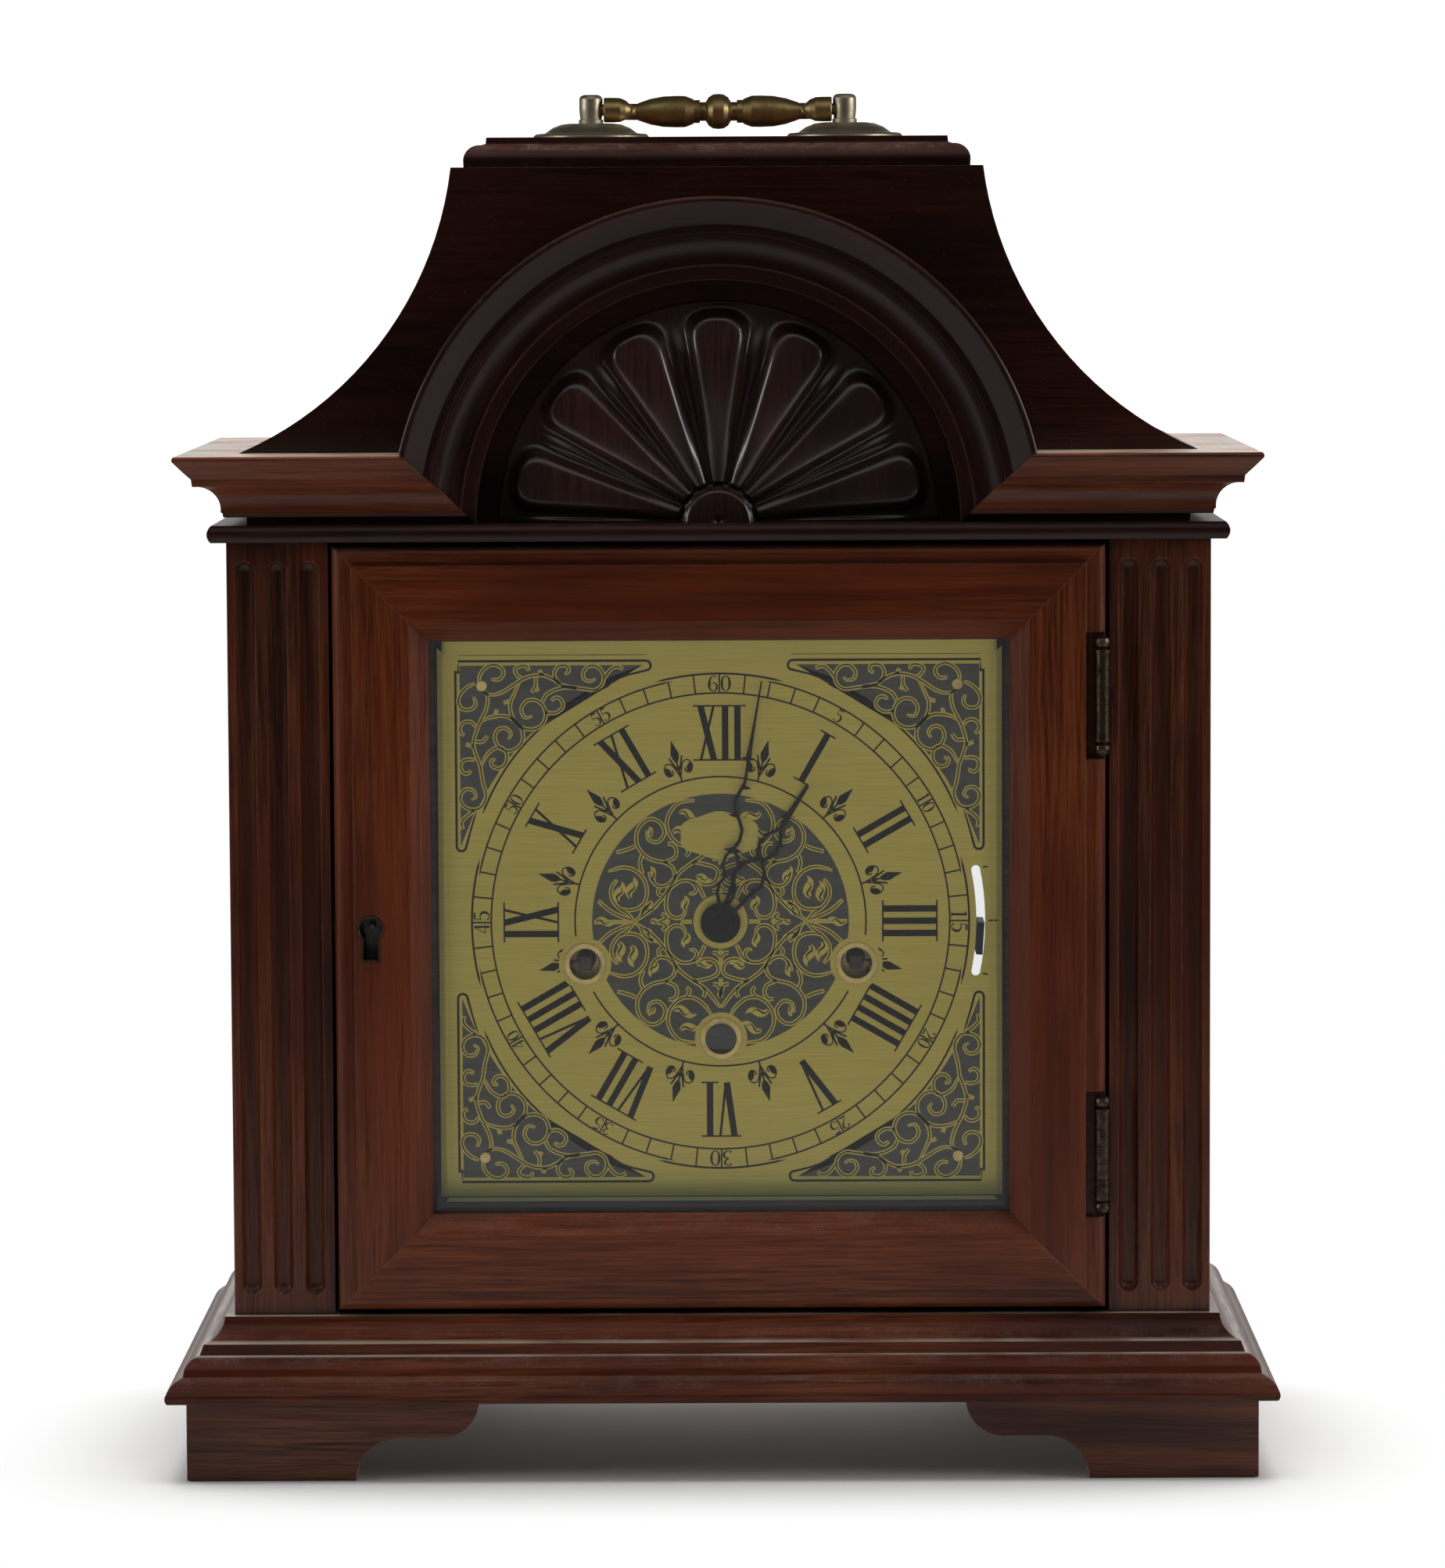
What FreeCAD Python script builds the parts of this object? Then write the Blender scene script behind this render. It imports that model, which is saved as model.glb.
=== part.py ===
"""Bracket clock in a mahogany case with an arched, concave-sided hood and a brass carrying handle.

Millimetres. +X is to the clock's right as seen from the front, +Y points to the back and +Z is up.
The origin is the centre of the clock's footprint on the surface that it stands on. While the pieces
are made, y = 0 is the front face of the pilasters, and each piece is moved to the origin on export.
"""
import FreeCAD, Part
import math
import os

V = FreeCAD.Vector
X, Y, Z = V(1, 0, 0), V(0, 1, 0), V(0, 0, 1)

# ---------------------------------------------------------------- case: heights and widths
FOOT_H = 25.3            # floor to the underside of the base moulding
BASE_H = 25.0            # base moulding
CASE_H = 243.7           # pilasters and sides
NECK_H = 5.4             # round-edged board over the pilasters
QUIRK_H = 2.4            # shadow gap under the cornice
CORNICE_H = 19.4
HOOD_H = 89.0            # concave part above the cornice
CAP_H = 9.4
CASE_W = 307.2
CASE_D = 161.0
SIDE_T = 10.0            # side panels
BOARD_T = 12.0           # base board
BASE_OUT = 20.75         # how far the base moulding stands out
BASE_IN = 16.0           # how far it runs in under the sides
NECK_OUT = 5.6
CORNICE_OUT = 15.4
CORNICE_STOCK = 15.0     # depth of the cornice behind the face of the case
QUIRK_IN = 6.0

# ---------------------------------------------------------------- bracket feet
FOOT_SET_IN = 6.3        # foot face behind the nose of the base moulding
FOOT_T = 14.0
FOOT_BOTTOM_L = 53.0     # length of the foot on the floor
FOOT_TOP_L = 91.7        # length of the bracket under the moulding
FOOT_LOBE_Z = 13.6       # underside of the bracket's lobe
FOOT_ROUND = 1.2

# ---------------------------------------------------------------- pilasters
PIL_W = 31.7
PIL_T = 19.5
FLUTES = 3
FLUTE_PITCH = 10.0
FLUTE_FIRST = 5.6        # outer edge of the pilaster to the first flute's centre
FLUTE_R = 3.2
FLUTE_DEPTH = 2.6
FLUTE_END = 6.3          # plain wood above and below each flute

# ---------------------------------------------------------------- front door
DOOR_GAP = 1.2           # beside and above the door
DOOR_GAP_FOOT = 1.7
DOOR_T = 18.0
DOOR_PROUD = 4.5         # door face in front of the pilasters
DOOR_FRAME_W = 29.9
DOOR_EDGE_W = 6.3        # thumb moulding round the door's edge
DOOR_EDGE_BEAD = 3.9
DOOR_EDGE_DROP = 1.4
DOOR_BEVEL_W = 6.0
DOOR_BEVEL_D = 6.5
DOOR_LIP = 1.5
REBATE_W = 5.0
GLASS_T = 4.0
GLASS_PLAY = 0.3
GLASS_BEVEL_W = 9.6
GLASS_EDGE_T = 1.8
GLASS_BEAD_W = 4.5

# ---------------------------------------------------------------- front door hinges and lock
HINGE_Z = (100.7, 245.1)  # centre heights
HINGE_R = 2.25
HINGE_PIN_R = 0.95
HINGE_FIT = 0.05
HINGE_X_IN = 1.1         # barrel centre inside the door's edge
HINGE_PROUD = 3.4        # barrel centre in front of the pilasters
KNUCKLES = 5
KNUCKLE_L = 5.35
KNUCKLE_GAP = 0.15
HINGE_BALL_R = 2.4
HINGE_COLLAR_L = 1.3
LEAF_T = 0.8
LEAF_DEPTH = 11.0
HINGE_LEAF_GAP = 0.4     # barrel to the start of the leaf
LOCK_U = 11.3            # door edge to the keyhole's centre
LOCK_Z = 172.9
KEYHOLE_R = 4.2
KEYHOLE_SLOT_W = 5.9
KEYHOLE_DROP = 10.3      # circle centre to the slot's foot
LINER_T = 0.6
LOCK_W, LOCK_H, LOCK_T = 22.0, 36.0, 8.0
BOLT_L, BOLT_H, BOLT_T = 13.0, 9.0, 3.0
BOLT_FIT = 0.1
BOLT_TRAVEL = 4.5
STRIKE_T = 0.8

# ---------------------------------------------------------------- rear door
REAR_FRAME_W = 26.0
REAR_T = 10.0
REAR_GAP = 0.6
REAR_GLASS_T = 3.0
REAR_REBATE = 5.0
REAR_HINGE_R = 2.0
REAR_HINGE_L = 30.0
REAR_LEAF_DEPTH = 8.0
REAR_LEAF_GAP = 0.2
REAR_HINGE_Z = (100.0, 244.0)
KNOB_R = 5.0
KNOB_L = 9.0

# ---------------------------------------------------------------- cornice, arch and hood
ARCH_R_OUT = 101.4
ARCH_R_IN = 75.5
MITRE_OUT_X = 97.9       # where the cornice's top edge meets the arch
HOOD_FACE_Y = 15.0
HOOD_BOARD_T = 15.0
HOOD_FOOT_HALF = 150.5
HOOD_TOP_HALF = 83.3
HOOD_ARC_R = 111.5
HOOD_WALL = 10.0
CAP_SET_IN = 3.9
PANEL_T = 4.0
SHELL_R = 66.0
SHELL_HUB_R = 11.2
SHELL_RISE = 9.0
PETALS = 7

# ---------------------------------------------------------------- handle
PLATE_R = 18.6
PLATE_H = 4.7
PLATE_RIM_H = 1.7
POST_SPACING = 82.1
POST_R = 3.8
POST_H = 9.6
POST_RING_R = 3.95
POST_RING_H = 1.6
PIVOT_RISE = 4.7         # pivot above the handle plate
PIVOT_PIN_R = 1.85
PIVOT_FIT = 0.05
BOSS_R = 4.0
BOSS_L = 9.6
BOSS_GAP = 0.35
ARM_R = 2.7
BAIL_REACH = 37.0        # pivot to the middle of the grip
ARM_X = 31.5
ARM_BEND = 5.0
GRIP_BEAD_R = 5.8
GRIP_BEAD_L = 8.4
GRIP_NECK_R = 3.1
GRIP_COLLAR_R = 4.1
GRIP_SWELL_R = 5.2
PIVOT_PIN_IN = 2.0        # pivot pin past the post's centre line

# ---------------------------------------------------------------- dial and hands
DIAL_SIZE = 175.0
DIAL_Z = 172.5
DIAL_T = 1.0
DIAL_BOARD_T = 8.0
DIAL_HOLE_R = 85.0
DIAL_SCREW = 75.0        # screw position from the dial's centre lines
SIDE_ARBOR_X = 42.9
SIDE_ARBOR_DROP = 13.3
LOW_ARBOR_DROP = 37.2
GROMMET_R = 6.55
GROMMET_BORE_R = 4.95
GROMMET_PROUD = 1.2
SLOT_R = 82.3
SLOT_W = 2.8
SLOT_HALF_ANGLE = 12.3
MINUTE_L = 77.8
MINUTE_ANGLE = 9.85      # clockwise from twelve, as the clock stands
HOUR_L = 51.4
HOUR_ANGLE = 32.5
HAND_T = 0.6
HOUR_BOSS_R = 6.3
MINUTE_BOSS_R = 4.3
NUT_R = 2.6

# ---------------------------------------------------------------- movement
PLATE_GAP = 50.0         # between the movement's plates
MOVE_PLATE_T = 2.0
MOVE_W = 148.0
MOVE_H = 128.0
STANDOFF_L = 6.5
STANDOFF_X, STANDOFF_DZ = 69.0, 59.0
PILLAR_UP_X, PILLAR_UP = 66.0, 58.0
PILLAR_LOW_X, PILLAR_LOW = 56.0, 59.0
PILLAR_R = 4.0
ARBOR_R = 3.0
ARBOR_SQUARE = 4.2
RUN_FIT = 0.05
BARREL_R = 18.4
BARREL_L = 33.0
GREAT_TEETH, GREAT_M, GREAT_W = 32, 1.35, 3.0
IDLE_PINION_TEETH, IDLE_WHEEL_TEETH, IDLE_M = 8, 48, 0.5
CENTRE_PINION_TEETH = 12
DRUM_TEETH = 14
DRUM_R = 8.4
CANNON_TEETH, MINUTE_WHEEL_TEETH, MOTION_M = 12, 36, 0.6
MOTION_PINION_TEETH, HOUR_WHEEL_TEETH = 10, 40
MOTION_ANGLE = 150.0
CENTRE_R = 1.75
HOUR_PIPE_R = 3.2
HOUR_PIPE_BORE = 2.3
HAMMERS = 8
HAMMER_ARBOR_R = 1.5
HAMMER_ARM_W = 1.6
HAMMER_TAIL = 7.0
CAM_LOBES = 4
CAM_LEAD = 11.0          # turn of each cam from the last
HAMMER_PITCH = 5.2
HAMMER_X, HAMMER_Z = 64.0, 128.0
HAMMER_DX, HAMMER_DZ = 26.0, 48.0
HAMMER_HEAD_R = 2.1
HAMMER_HEAD_H = 9.0
ROD_R = 1.2
ROD_GAP = 1.3
ROD_LONGEST, ROD_STEP = 214.0, 9.0
GONG_W, GONG_OVER = 26.0, 5.0
BALANCE_R = 9.2
BALANCE_Z = 216.0

# ---------------------------------------------------------------- levels and planes that follow
BASE_TOP = FOOT_H + BASE_H
CASE_TOP = BASE_TOP + CASE_H
NECK_TOP = CASE_TOP + NECK_H
CORNICE_FOOT = NECK_TOP + QUIRK_H
CORNICE_TOP = CORNICE_FOOT + CORNICE_H
HOOD_TOP = CORNICE_TOP + HOOD_H
CAP_TOP = HOOD_TOP + CAP_H
HALF = CASE_W / 2
FOOT_OUT = BASE_OUT - FOOT_SET_IN
DOOR_HALF = HALF - PIL_W - DOOR_GAP
DOOR_Z0 = BASE_TOP + DOOR_GAP_FOOT
DOOR_Z1 = CASE_TOP - DOOR_GAP
DOOR_FACE = -DOOR_PROUD
DOOR_BACK = DOOR_FACE + DOOR_T
GLASS_FRONT = DOOR_FACE + DOOR_BEVEL_D + DOOR_LIP
GLASS_BACK = GLASS_FRONT + GLASS_T
SIGHT_HALF = DOOR_HALF - DOOR_FRAME_W
HINGE_X = DOOR_HALF - HINGE_X_IN
HINGE_Y = -HINGE_PROUD
BOARD_Y = PIL_T                      # front of the dial board
DIAL_Y = BOARD_Y - DIAL_T            # front of the dial
FRONT_PLATE_Y = BOARD_Y + DIAL_BOARD_T + STANDOFF_L
INSIDE_Y = FRONT_PLATE_Y + MOVE_PLATE_T
BACK_PLATE_Y = INSIDE_Y + PLATE_GAP
MOVE_REAR = BACK_PLATE_Y + MOVE_PLATE_T
REAR_Y = CASE_D - REAR_T
REAR_HALF = HALF - SIDE_T - REAR_GAP
REAR_Z0 = BASE_TOP + REAR_GAP
REAR_Z1 = CASE_TOP - REAR_GAP
REAR_HINGE_X = REAR_HALF - REAR_HINGE_R
REAR_HINGE_Y = CASE_D + REAR_HINGE_R * 0.6
HANDLE_Y = (HOOD_FACE_Y + CASE_D) / 2
PIVOT_Z = CAP_TOP + PLATE_H + PIVOT_RISE
POST_X = POST_SPACING / 2
PLAN_SHIFT = V(0, -((CASE_D + KNOB_L) - BASE_OUT) / 2, 0)
ARBORS = {"strike": (-SIDE_ARBOR_X, DIAL_Z - SIDE_ARBOR_DROP),
          "chime": (SIDE_ARBOR_X, DIAL_Z - SIDE_ARBOR_DROP),
          "going": (0.0, DIAL_Z - LOW_ARBOR_DROP)}


# ---------------------------------------------------------------- small helpers
def box(x0, x1, y0, y1, z0, z1):
    return Part.makeBox(x1 - x0, y1 - y0, z1 - z0, V(x0, y0, z0))


def rod(start, end, radius):
    return Part.makeCylinder(radius, (end - start).Length, start, end - start)


def tube(start, end, radius, bore):
    return rod(start, end, radius).cut(rod(start, end, bore))


def outline(items):
    """A closed wire through points; an item (middle, end) is an arc from the last point."""
    edges, last = [], items[0]
    for item in items[1:] + [items[0]]:
        if isinstance(item, tuple):
            edges.append(Part.Arc(last, item[0], item[1]).toShape())
            last = item[1]
        elif (item - last).Length > 1e-6:
            edges.append(Part.LineSegment(last, item).toShape())
            last = item
    return Part.Wire(edges)


def prism(items, along):
    return Part.Face(outline(items)).extrude(along)


def at(items, place):
    """Maps 2-D items to 3-D with place(u, v)."""
    def one(p):
        return place(p[0], p[1])
    mapped = []
    for item in items:
        if isinstance(item[0], tuple):
            mapped.append((one(item[0]), one(item[1])))
        else:
            mapped.append(one(item))
    return mapped


def mirrored(shape):
    return shape.mirror(V(0, 0, 0), X)


def fuse(shapes):
    solid = shapes[0].multiFuse(shapes[1:]) if len(shapes) > 1 else shapes[0]
    return solid.removeSplitter()


def bow(start, end, bulge, steps):
    """Points after start and up to end along an arc that stands out by bulge, to the left of the way."""
    run_x, run_z = end[0] - start[0], end[1] - start[1]
    length = math.hypot(run_x, run_z)
    radius = (length ** 2 / 4 + bulge ** 2) / (2 * abs(bulge))
    sign = 1 if bulge > 0 else -1
    half = math.asin(min(1.0, length / 2 / radius))
    if abs(bulge) > length / 2:
        half = math.pi - half
    points = []
    for n in range(1, steps + 1):
        a = -half + 2 * half * n / steps
        along = length / 2 + radius * math.sin(a)
        out = sign * (radius * math.cos(a) - radius * math.cos(half))
        points.append((start[0] + (run_x * along - run_z * out) / length,
                       start[1] + (run_z * along + run_x * out) / length))
    return points


def turned(profile, base, along, out):
    """A solid of revolution: profile is (radius, distance along the axis)."""
    return spin([base + along * d + out * r for r, d in profile], (base, along))


def spin(items, axis_place, angle=360.0):
    """Turns a closed profile about an axis given as (point, direction)."""
    return Part.Face(outline(items)).revolve(axis_place[0], axis_place[1], angle)


# ---------------------------------------------------------------- mouldings
def base_profile():
    """(outward from the case, height above the underside)."""
    top = BASE_H
    out = BASE_OUT
    return [(-BASE_IN, 0.0), (out - 0.7, 0.0), ((out - 0.05, 1.3), (out - 0.4, 3.2)),
            ((out - 1.2, 4.8), (out - 3.2, 6.7)), (out - 5.4, 7.9), (out - 5.8, 10.2),
            ((out - 6.9, 12.0), (out - 10.3, 13.9)), (out - 11.5, 17.2),
            ((out - 15.9, 20.0), (out - 17.7, top - 0.9)), (out - 17.8, top), (-BASE_IN, top)]


def cornice_profile():
    """(outward from the case, share of the height above the necking)."""
    full = QUIRK_H + CORNICE_H
    heights = [(-CORNICE_STOCK, 0), (-QUIRK_IN, 0), (-QUIRK_IN, QUIRK_H), (0.7, QUIRK_H),
               (1.0, QUIRK_H + 1.4), (1.5, QUIRK_H + 1.6),
               ((4.2, QUIRK_H + 8.3), (9.6, QUIRK_H + 9.9)), (9.9, QUIRK_H + 12.2),
               ((11.9, QUIRK_H + 14.2), (CORNICE_OUT - 0.5, QUIRK_H + 17.4)),
               ((CORNICE_OUT, QUIRK_H + 18.4), (CORNICE_OUT - 0.6, full)), (-CORNICE_STOCK, full)]

    def share(p):
        return (p[0], p[1] / full)
    return [(share(i[0]), share(i[1])) if isinstance(i[0], tuple) else share(i) for i in heights]


def plan(points, z0, z1):
    """An upright prism over a plan outline, for cutting mitres."""
    return prism([V(x, y, z0) for x, y in points], V(0, 0, z1 - z0))


def three_sided(profile, out, stock, z0, z1):
    """A moulding's front and two returns, mitred at the front corners."""
    wide = HALF + out
    front = prism(at(profile, lambda d, h: V(-wide - 1, -d, z0 + h)), V(2 * wide + 2, 0, 0))
    front = front.common(plan([(-wide, -out), (wide, -out), (HALF - stock, stock),
                               (stock - HALF, stock)], z0 - 1, z1 + 1))
    side = prism(at(profile, lambda d, h: V(HALF + d, -out - 1, z0 + h)), V(0, CASE_D + out + 1, 0))
    side = side.common(plan([(wide, -out), (wide, CASE_D), (HALF - stock, CASE_D),
                             (HALF - stock, stock)], z0 - 1, z1 + 1))
    return front, side


def base_moulding():
    front, side = three_sided(base_profile(), BASE_OUT, BASE_IN, FOOT_H, BASE_TOP)
    return [front, side, mirrored(side)]


def base_board():
    inner = HALF - BASE_IN
    return [box(-inner, inner, BASE_IN, CASE_D, BASE_TOP - BOARD_T, BASE_TOP)]


def bracket(length_bottom, length_top):
    """Outline of one bracket from its corner: (along, height)."""
    run = length_top - length_bottom
    cove = FOOT_LOBE_Z
    lobe = FOOT_H - FOOT_LOBE_Z
    c45 = math.sqrt(0.5)
    return [(0.0, FOOT_ROUND), (FOOT_ROUND, 0.0), (length_bottom, 0.0),
            ((length_bottom + cove * (1 - c45), cove * c45), (length_bottom + cove, cove)),
            (length_bottom + run - lobe, cove),
            ((length_top - lobe * (1 - c45), FOOT_H - lobe * c45), (length_top, FOOT_H)),
            (0.0, FOOT_H)]


def foot(rear):
    """A corner's front or back bracket and its side bracket, mitred, for the +X side."""
    shape = bracket(FOOT_BOTTOM_L, FOOT_TOP_L)
    side_shape = bracket(FOOT_BOTTOM_L * 0.8, FOOT_TOP_L * 0.8 - 8)
    edge = HALF + FOOT_OUT
    face, turn = (CASE_D, -1) if rear else (-FOOT_OUT, 1)
    cross = prism(at(shape, lambda u, h: V(edge - u, face, h)), V(0, turn * FOOT_T, 0))
    side = prism(at(side_shape, lambda u, h: V(edge, face + turn * u, h)), V(-FOOT_T, 0, 0))
    far = FOOT_TOP_L + 1
    corner = [(edge, face), (edge - far, face), (edge - far, face + turn * FOOT_T),
              (edge - FOOT_T, face + turn * FOOT_T)]
    cross = cross.common(plan(corner, -1, FOOT_H + 1))
    corner = [(edge, face), (edge - FOOT_T, face + turn * FOOT_T),
              (edge - FOOT_T, face + turn * far), (edge, face + turn * far)]
    side = side.common(plan(corner, -1, FOOT_H + 1))
    return [cross, side]


def side_panel():
    return box(HALF - SIDE_T, HALF, PIL_T, CASE_D, BASE_TOP, CASE_TOP)


def flute(x):
    centre_y = FLUTE_R - FLUTE_DEPTH
    z0 = BASE_TOP + FLUTE_END + FLUTE_R
    z1 = CASE_TOP - FLUTE_END + 0.3 - FLUTE_R
    low, high = V(x, -centre_y, z0), V(x, -centre_y, z1)
    return fuse([rod(low, high, FLUTE_R), Part.makeSphere(FLUTE_R, low), Part.makeSphere(FLUTE_R, high)])


def pilaster():
    post = box(HALF - PIL_W, HALF, 0, PIL_T, BASE_TOP, CASE_TOP)
    for n in range(FLUTES):
        post = post.cut(flute(HALF - FLUTE_FIRST - n * FLUTE_PITCH))
    return post


def left_pilaster():
    """The plain pilaster mirrored, with the mortise that takes the lock bolt."""
    post = mirrored(pilaster())
    inner = PIL_W - HALF
    pocket = box(inner - STRIKE_T - BOLT_TRAVEL - 1, inner + 1, BOLT_Y0 - 0.6, BOLT_Y0 + BOLT_T + 0.6,
                 BOLT_Z0 - 0.6, BOLT_Z0 + BOLT_H + 0.6)
    recess = box(inner - STRIKE_T, inner + 1, BOLT_Y0 - 3, BOLT_Y0 + BOLT_T + 3, BOLT_Z0 - 5,
                 BOLT_Z0 + BOLT_H + 5)
    return post.cut(pocket).cut(recess)


def strike_plate():
    inner = PIL_W - HALF
    plate = box(inner - STRIKE_T, inner, BOLT_Y0 - 3, BOLT_Y0 + BOLT_T + 3, BOLT_Z0 - 5,
                BOLT_Z0 + BOLT_H + 5)
    hole = box(inner - STRIKE_T - 1, inner + 1, BOLT_Y0 - 0.6, BOLT_Y0 + BOLT_T + 0.6, BOLT_Z0 - 0.6,
               BOLT_Z0 + BOLT_H + 0.6)
    return [plate.cut(hole)]


def necking_board():
    """Round-edged board: the overlap of a front-to-back and a side-to-side profile."""
    r = NECK_H / 2

    def edge(reach):
        return [(0, 0), (reach - 1.1, 0), ((reach, r), (reach - 1.3, NECK_H)), (0, NECK_H)]
    wide = HALF + NECK_OUT
    across = prism(at(edge(wide), lambda u, h: V(u, -NECK_OUT, CASE_TOP + h)), V(0, CASE_D + NECK_OUT, 0))
    across = across.fuse(mirrored(across))
    deep = prism(at(edge(CASE_D + NECK_OUT), lambda u, h: V(-wide, CASE_D - u, CASE_TOP + h)),
                 V(2 * wide, 0, 0))
    return [across.common(deep).removeSplitter()]


def cornice_moulding():
    """Left and right front lengths and the two returns; the front ones are mitred into the arch."""
    full = QUIRK_H + CORNICE_H
    profile = [((i[0][0], i[0][1] * full), (i[1][0], i[1][1] * full)) if isinstance(i[0], tuple)
               else (i[0], i[1] * full) for i in cornice_profile()]
    front, side = three_sided(profile, CORNICE_OUT, CORNICE_STOCK, NECK_TOP, CORNICE_TOP)
    right = front.common(mitre_side(1))
    return [right, mirrored(right), side, mirrored(side)]


def mitre_side(sign):
    """The space on the outer side of the cornice's mitre with the arch."""
    deep, far = 60, HALF + 40
    corner = [(ARCH_R_IN, NECK_TOP), (MITRE_OUT_X, CORNICE_TOP),
              (MITRE_OUT_X + 0.3 * (MITRE_OUT_X - ARCH_R_IN), CORNICE_TOP + 0.3 * (CORNICE_TOP - NECK_TOP)),
              (far, CORNICE_TOP + 10), (far, NECK_TOP - 5), (ARCH_R_IN, NECK_TOP - 5)]
    return prism([V(sign * x, -deep, z) for x, z in corner], V(0, 2 * deep, 0))


def arch_moulding():
    """The cornice's section widened and turned through a half circle over the shell."""
    span = ARCH_R_OUT - ARCH_R_IN

    def place(d, share):
        return V(ARCH_R_IN + span * share, -d, NECK_TOP)
    items = [(-CORNICE_STOCK, 0.0), (0.7, 0.0)] + cornice_profile()[4:]
    ring = spin(at(items, place), (V(0, 0, NECK_TOP), -Y), 180.0)
    return [ring.cut(mitre_side(1)).cut(mitre_side(-1))]


def hood_arc(grow):
    """Points (start, middle, end) of the concave side, foot to top; grow moves it inward."""
    foot_p, top_p = V(HOOD_FOOT_HALF, 0, CORNICE_TOP), V(HOOD_TOP_HALF, 0, HOOD_TOP)
    chord = top_p - foot_p
    across = V(-chord.z, 0, chord.x)
    across.normalize()
    rise = math.sqrt(HOOD_ARC_R ** 2 - chord.Length ** 2 / 4)
    centre = (foot_p + top_p) * 0.5 - across * rise
    radius = HOOD_ARC_R + grow

    def on(z):
        return V(centre.x - math.sqrt(radius ** 2 - (z - centre.z) ** 2), 0, z)
    start, end = on(CORNICE_TOP), on(HOOD_TOP)
    middle_dir = (start + end) * 0.5 - centre
    middle_dir.normalize()
    return start, centre + middle_dir * radius, end


def hood_board(y0):
    start, middle, end = hood_arc(0)
    foot_half = HALF - CORNICE_STOCK

    def flip(p):
        return V(-p.x, 0, p.z)
    items = [V(-foot_half, 0, NECK_TOP), V(foot_half, 0, NECK_TOP), V(foot_half, 0, CORNICE_TOP),
             start, (middle, end), flip(end), (flip(middle), flip(start)), V(-foot_half, 0, CORNICE_TOP)]
    board = prism(items, V(0, HOOD_BOARD_T, 0))
    board.translate(V(0, y0, 0))
    return board


def hood_side():
    out_a, out_m, out_b = hood_arc(0)
    in_a, in_m, in_b = hood_arc(HOOD_WALL)
    y0, y1 = HOOD_FACE_Y + HOOD_BOARD_T, CASE_D - HOOD_BOARD_T
    wall = prism([out_a, (out_m, out_b), in_b, (in_m, in_a)], V(0, y1 - y0, 0))
    wall.translate(V(0, y0, 0))
    return wall


def hood_top():
    inner = hood_arc(HOOD_WALL)
    low = inner[2].x
    y0, y1 = HOOD_FACE_Y + HOOD_BOARD_T, CASE_D - HOOD_BOARD_T
    return [box(-low, low, y0, y1, HOOD_TOP - HOOD_WALL, HOOD_TOP)]


def top_cap():
    """Ovolo-edged board: the overlap of two profiled lengths."""
    wide = HOOD_TOP_HALF - CAP_SET_IN
    y0, y1 = HOOD_FACE_Y + CAP_SET_IN, CASE_D - CAP_SET_IN

    def edge(reach):
        return [(0, 0), (reach, 0), (reach + 0.1, 2.2), ((reach - 1.4, 5.6), (reach - 5.4, CAP_H - 2.4)),
                (reach - 5.9, CAP_H - 2.2), (reach - 6.7, CAP_H - 2.0), (reach - 6.9, CAP_H), (0, CAP_H)]
    across = prism(at(edge(wide), lambda u, h: V(u, y0 - 1, HOOD_TOP + h)), V(0, y1 - y0 + 2, 0))
    deep_half = (y1 - y0) / 2
    deep = prism(at(edge(deep_half), lambda u, h: V(-wide - 1, (y0 + y1) / 2 + u, HOOD_TOP + h)),
                 V(2 * wide + 2, 0, 0))
    across = across.fuse(mirrored(across))
    deep = deep.fuse(deep.mirror(V(0, (y0 + y1) / 2, 0), Y))
    return [across.common(deep).removeSplitter()]


def shell_panel():
    disc = Part.makeCylinder(ARCH_R_IN, PANEL_T, V(0, HOOD_FACE_Y - PANEL_T, NECK_TOP), Y)
    return [disc.common(box(-200, 200, -50, 50, NECK_TOP, NECK_TOP + 200))]


def shell_petal(angle):
    """One raised lobe, lofted outward from the hub; angle is from the vertical."""
    back = HOOD_FACE_Y - PANEL_T - 1.2
    sections = [(0.12, 0.16, 0.30), (0.42, 0.44, 0.62), (0.74, 0.80, 0.92), (0.92, 1.0, 1.0),
                (0.985, 0.86, 0.72), (1.0, 0.55, 0.30)]
    widest = SHELL_R * math.radians(90.0 / PETALS) * 0.80
    lift = SHELL_RISE - 1.6
    wires = []
    for reach, width, height in sections:
        half = widest * width
        z = NECK_TOP + SHELL_R * reach
        left, right = V(-half, back, z), V(half, back, z)
        crown = V(0, back - lift * height, z)
        wires.append(Part.Wire([Part.Arc(left, crown, right).toShape(),
                                Part.LineSegment(right, left).toShape()]))
    lobe = Part.makeLoft(wires, True, True)
    lobe.rotate(V(0, 0, NECK_TOP), Y, angle)
    return lobe


def shell_carving():
    back = HOOD_FACE_Y - PANEL_T
    ground = Part.makeCylinder(SHELL_R * 0.93, 2.6, V(0, back - 2.6, NECK_TOP), Y)
    hub = Part.makeCylinder(SHELL_HUB_R, SHELL_RISE - 1, V(0, back - SHELL_RISE + 1, NECK_TOP), Y)
    step = 180.0 / PETALS
    lobes = [shell_petal(step * (n - (PETALS - 1) / 2)) for n in range(PETALS)]
    whole = fuse([ground, hub] + lobes)
    return [whole.common(box(-200, 200, -50, back, NECK_TOP, NECK_TOP + 200))]


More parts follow.
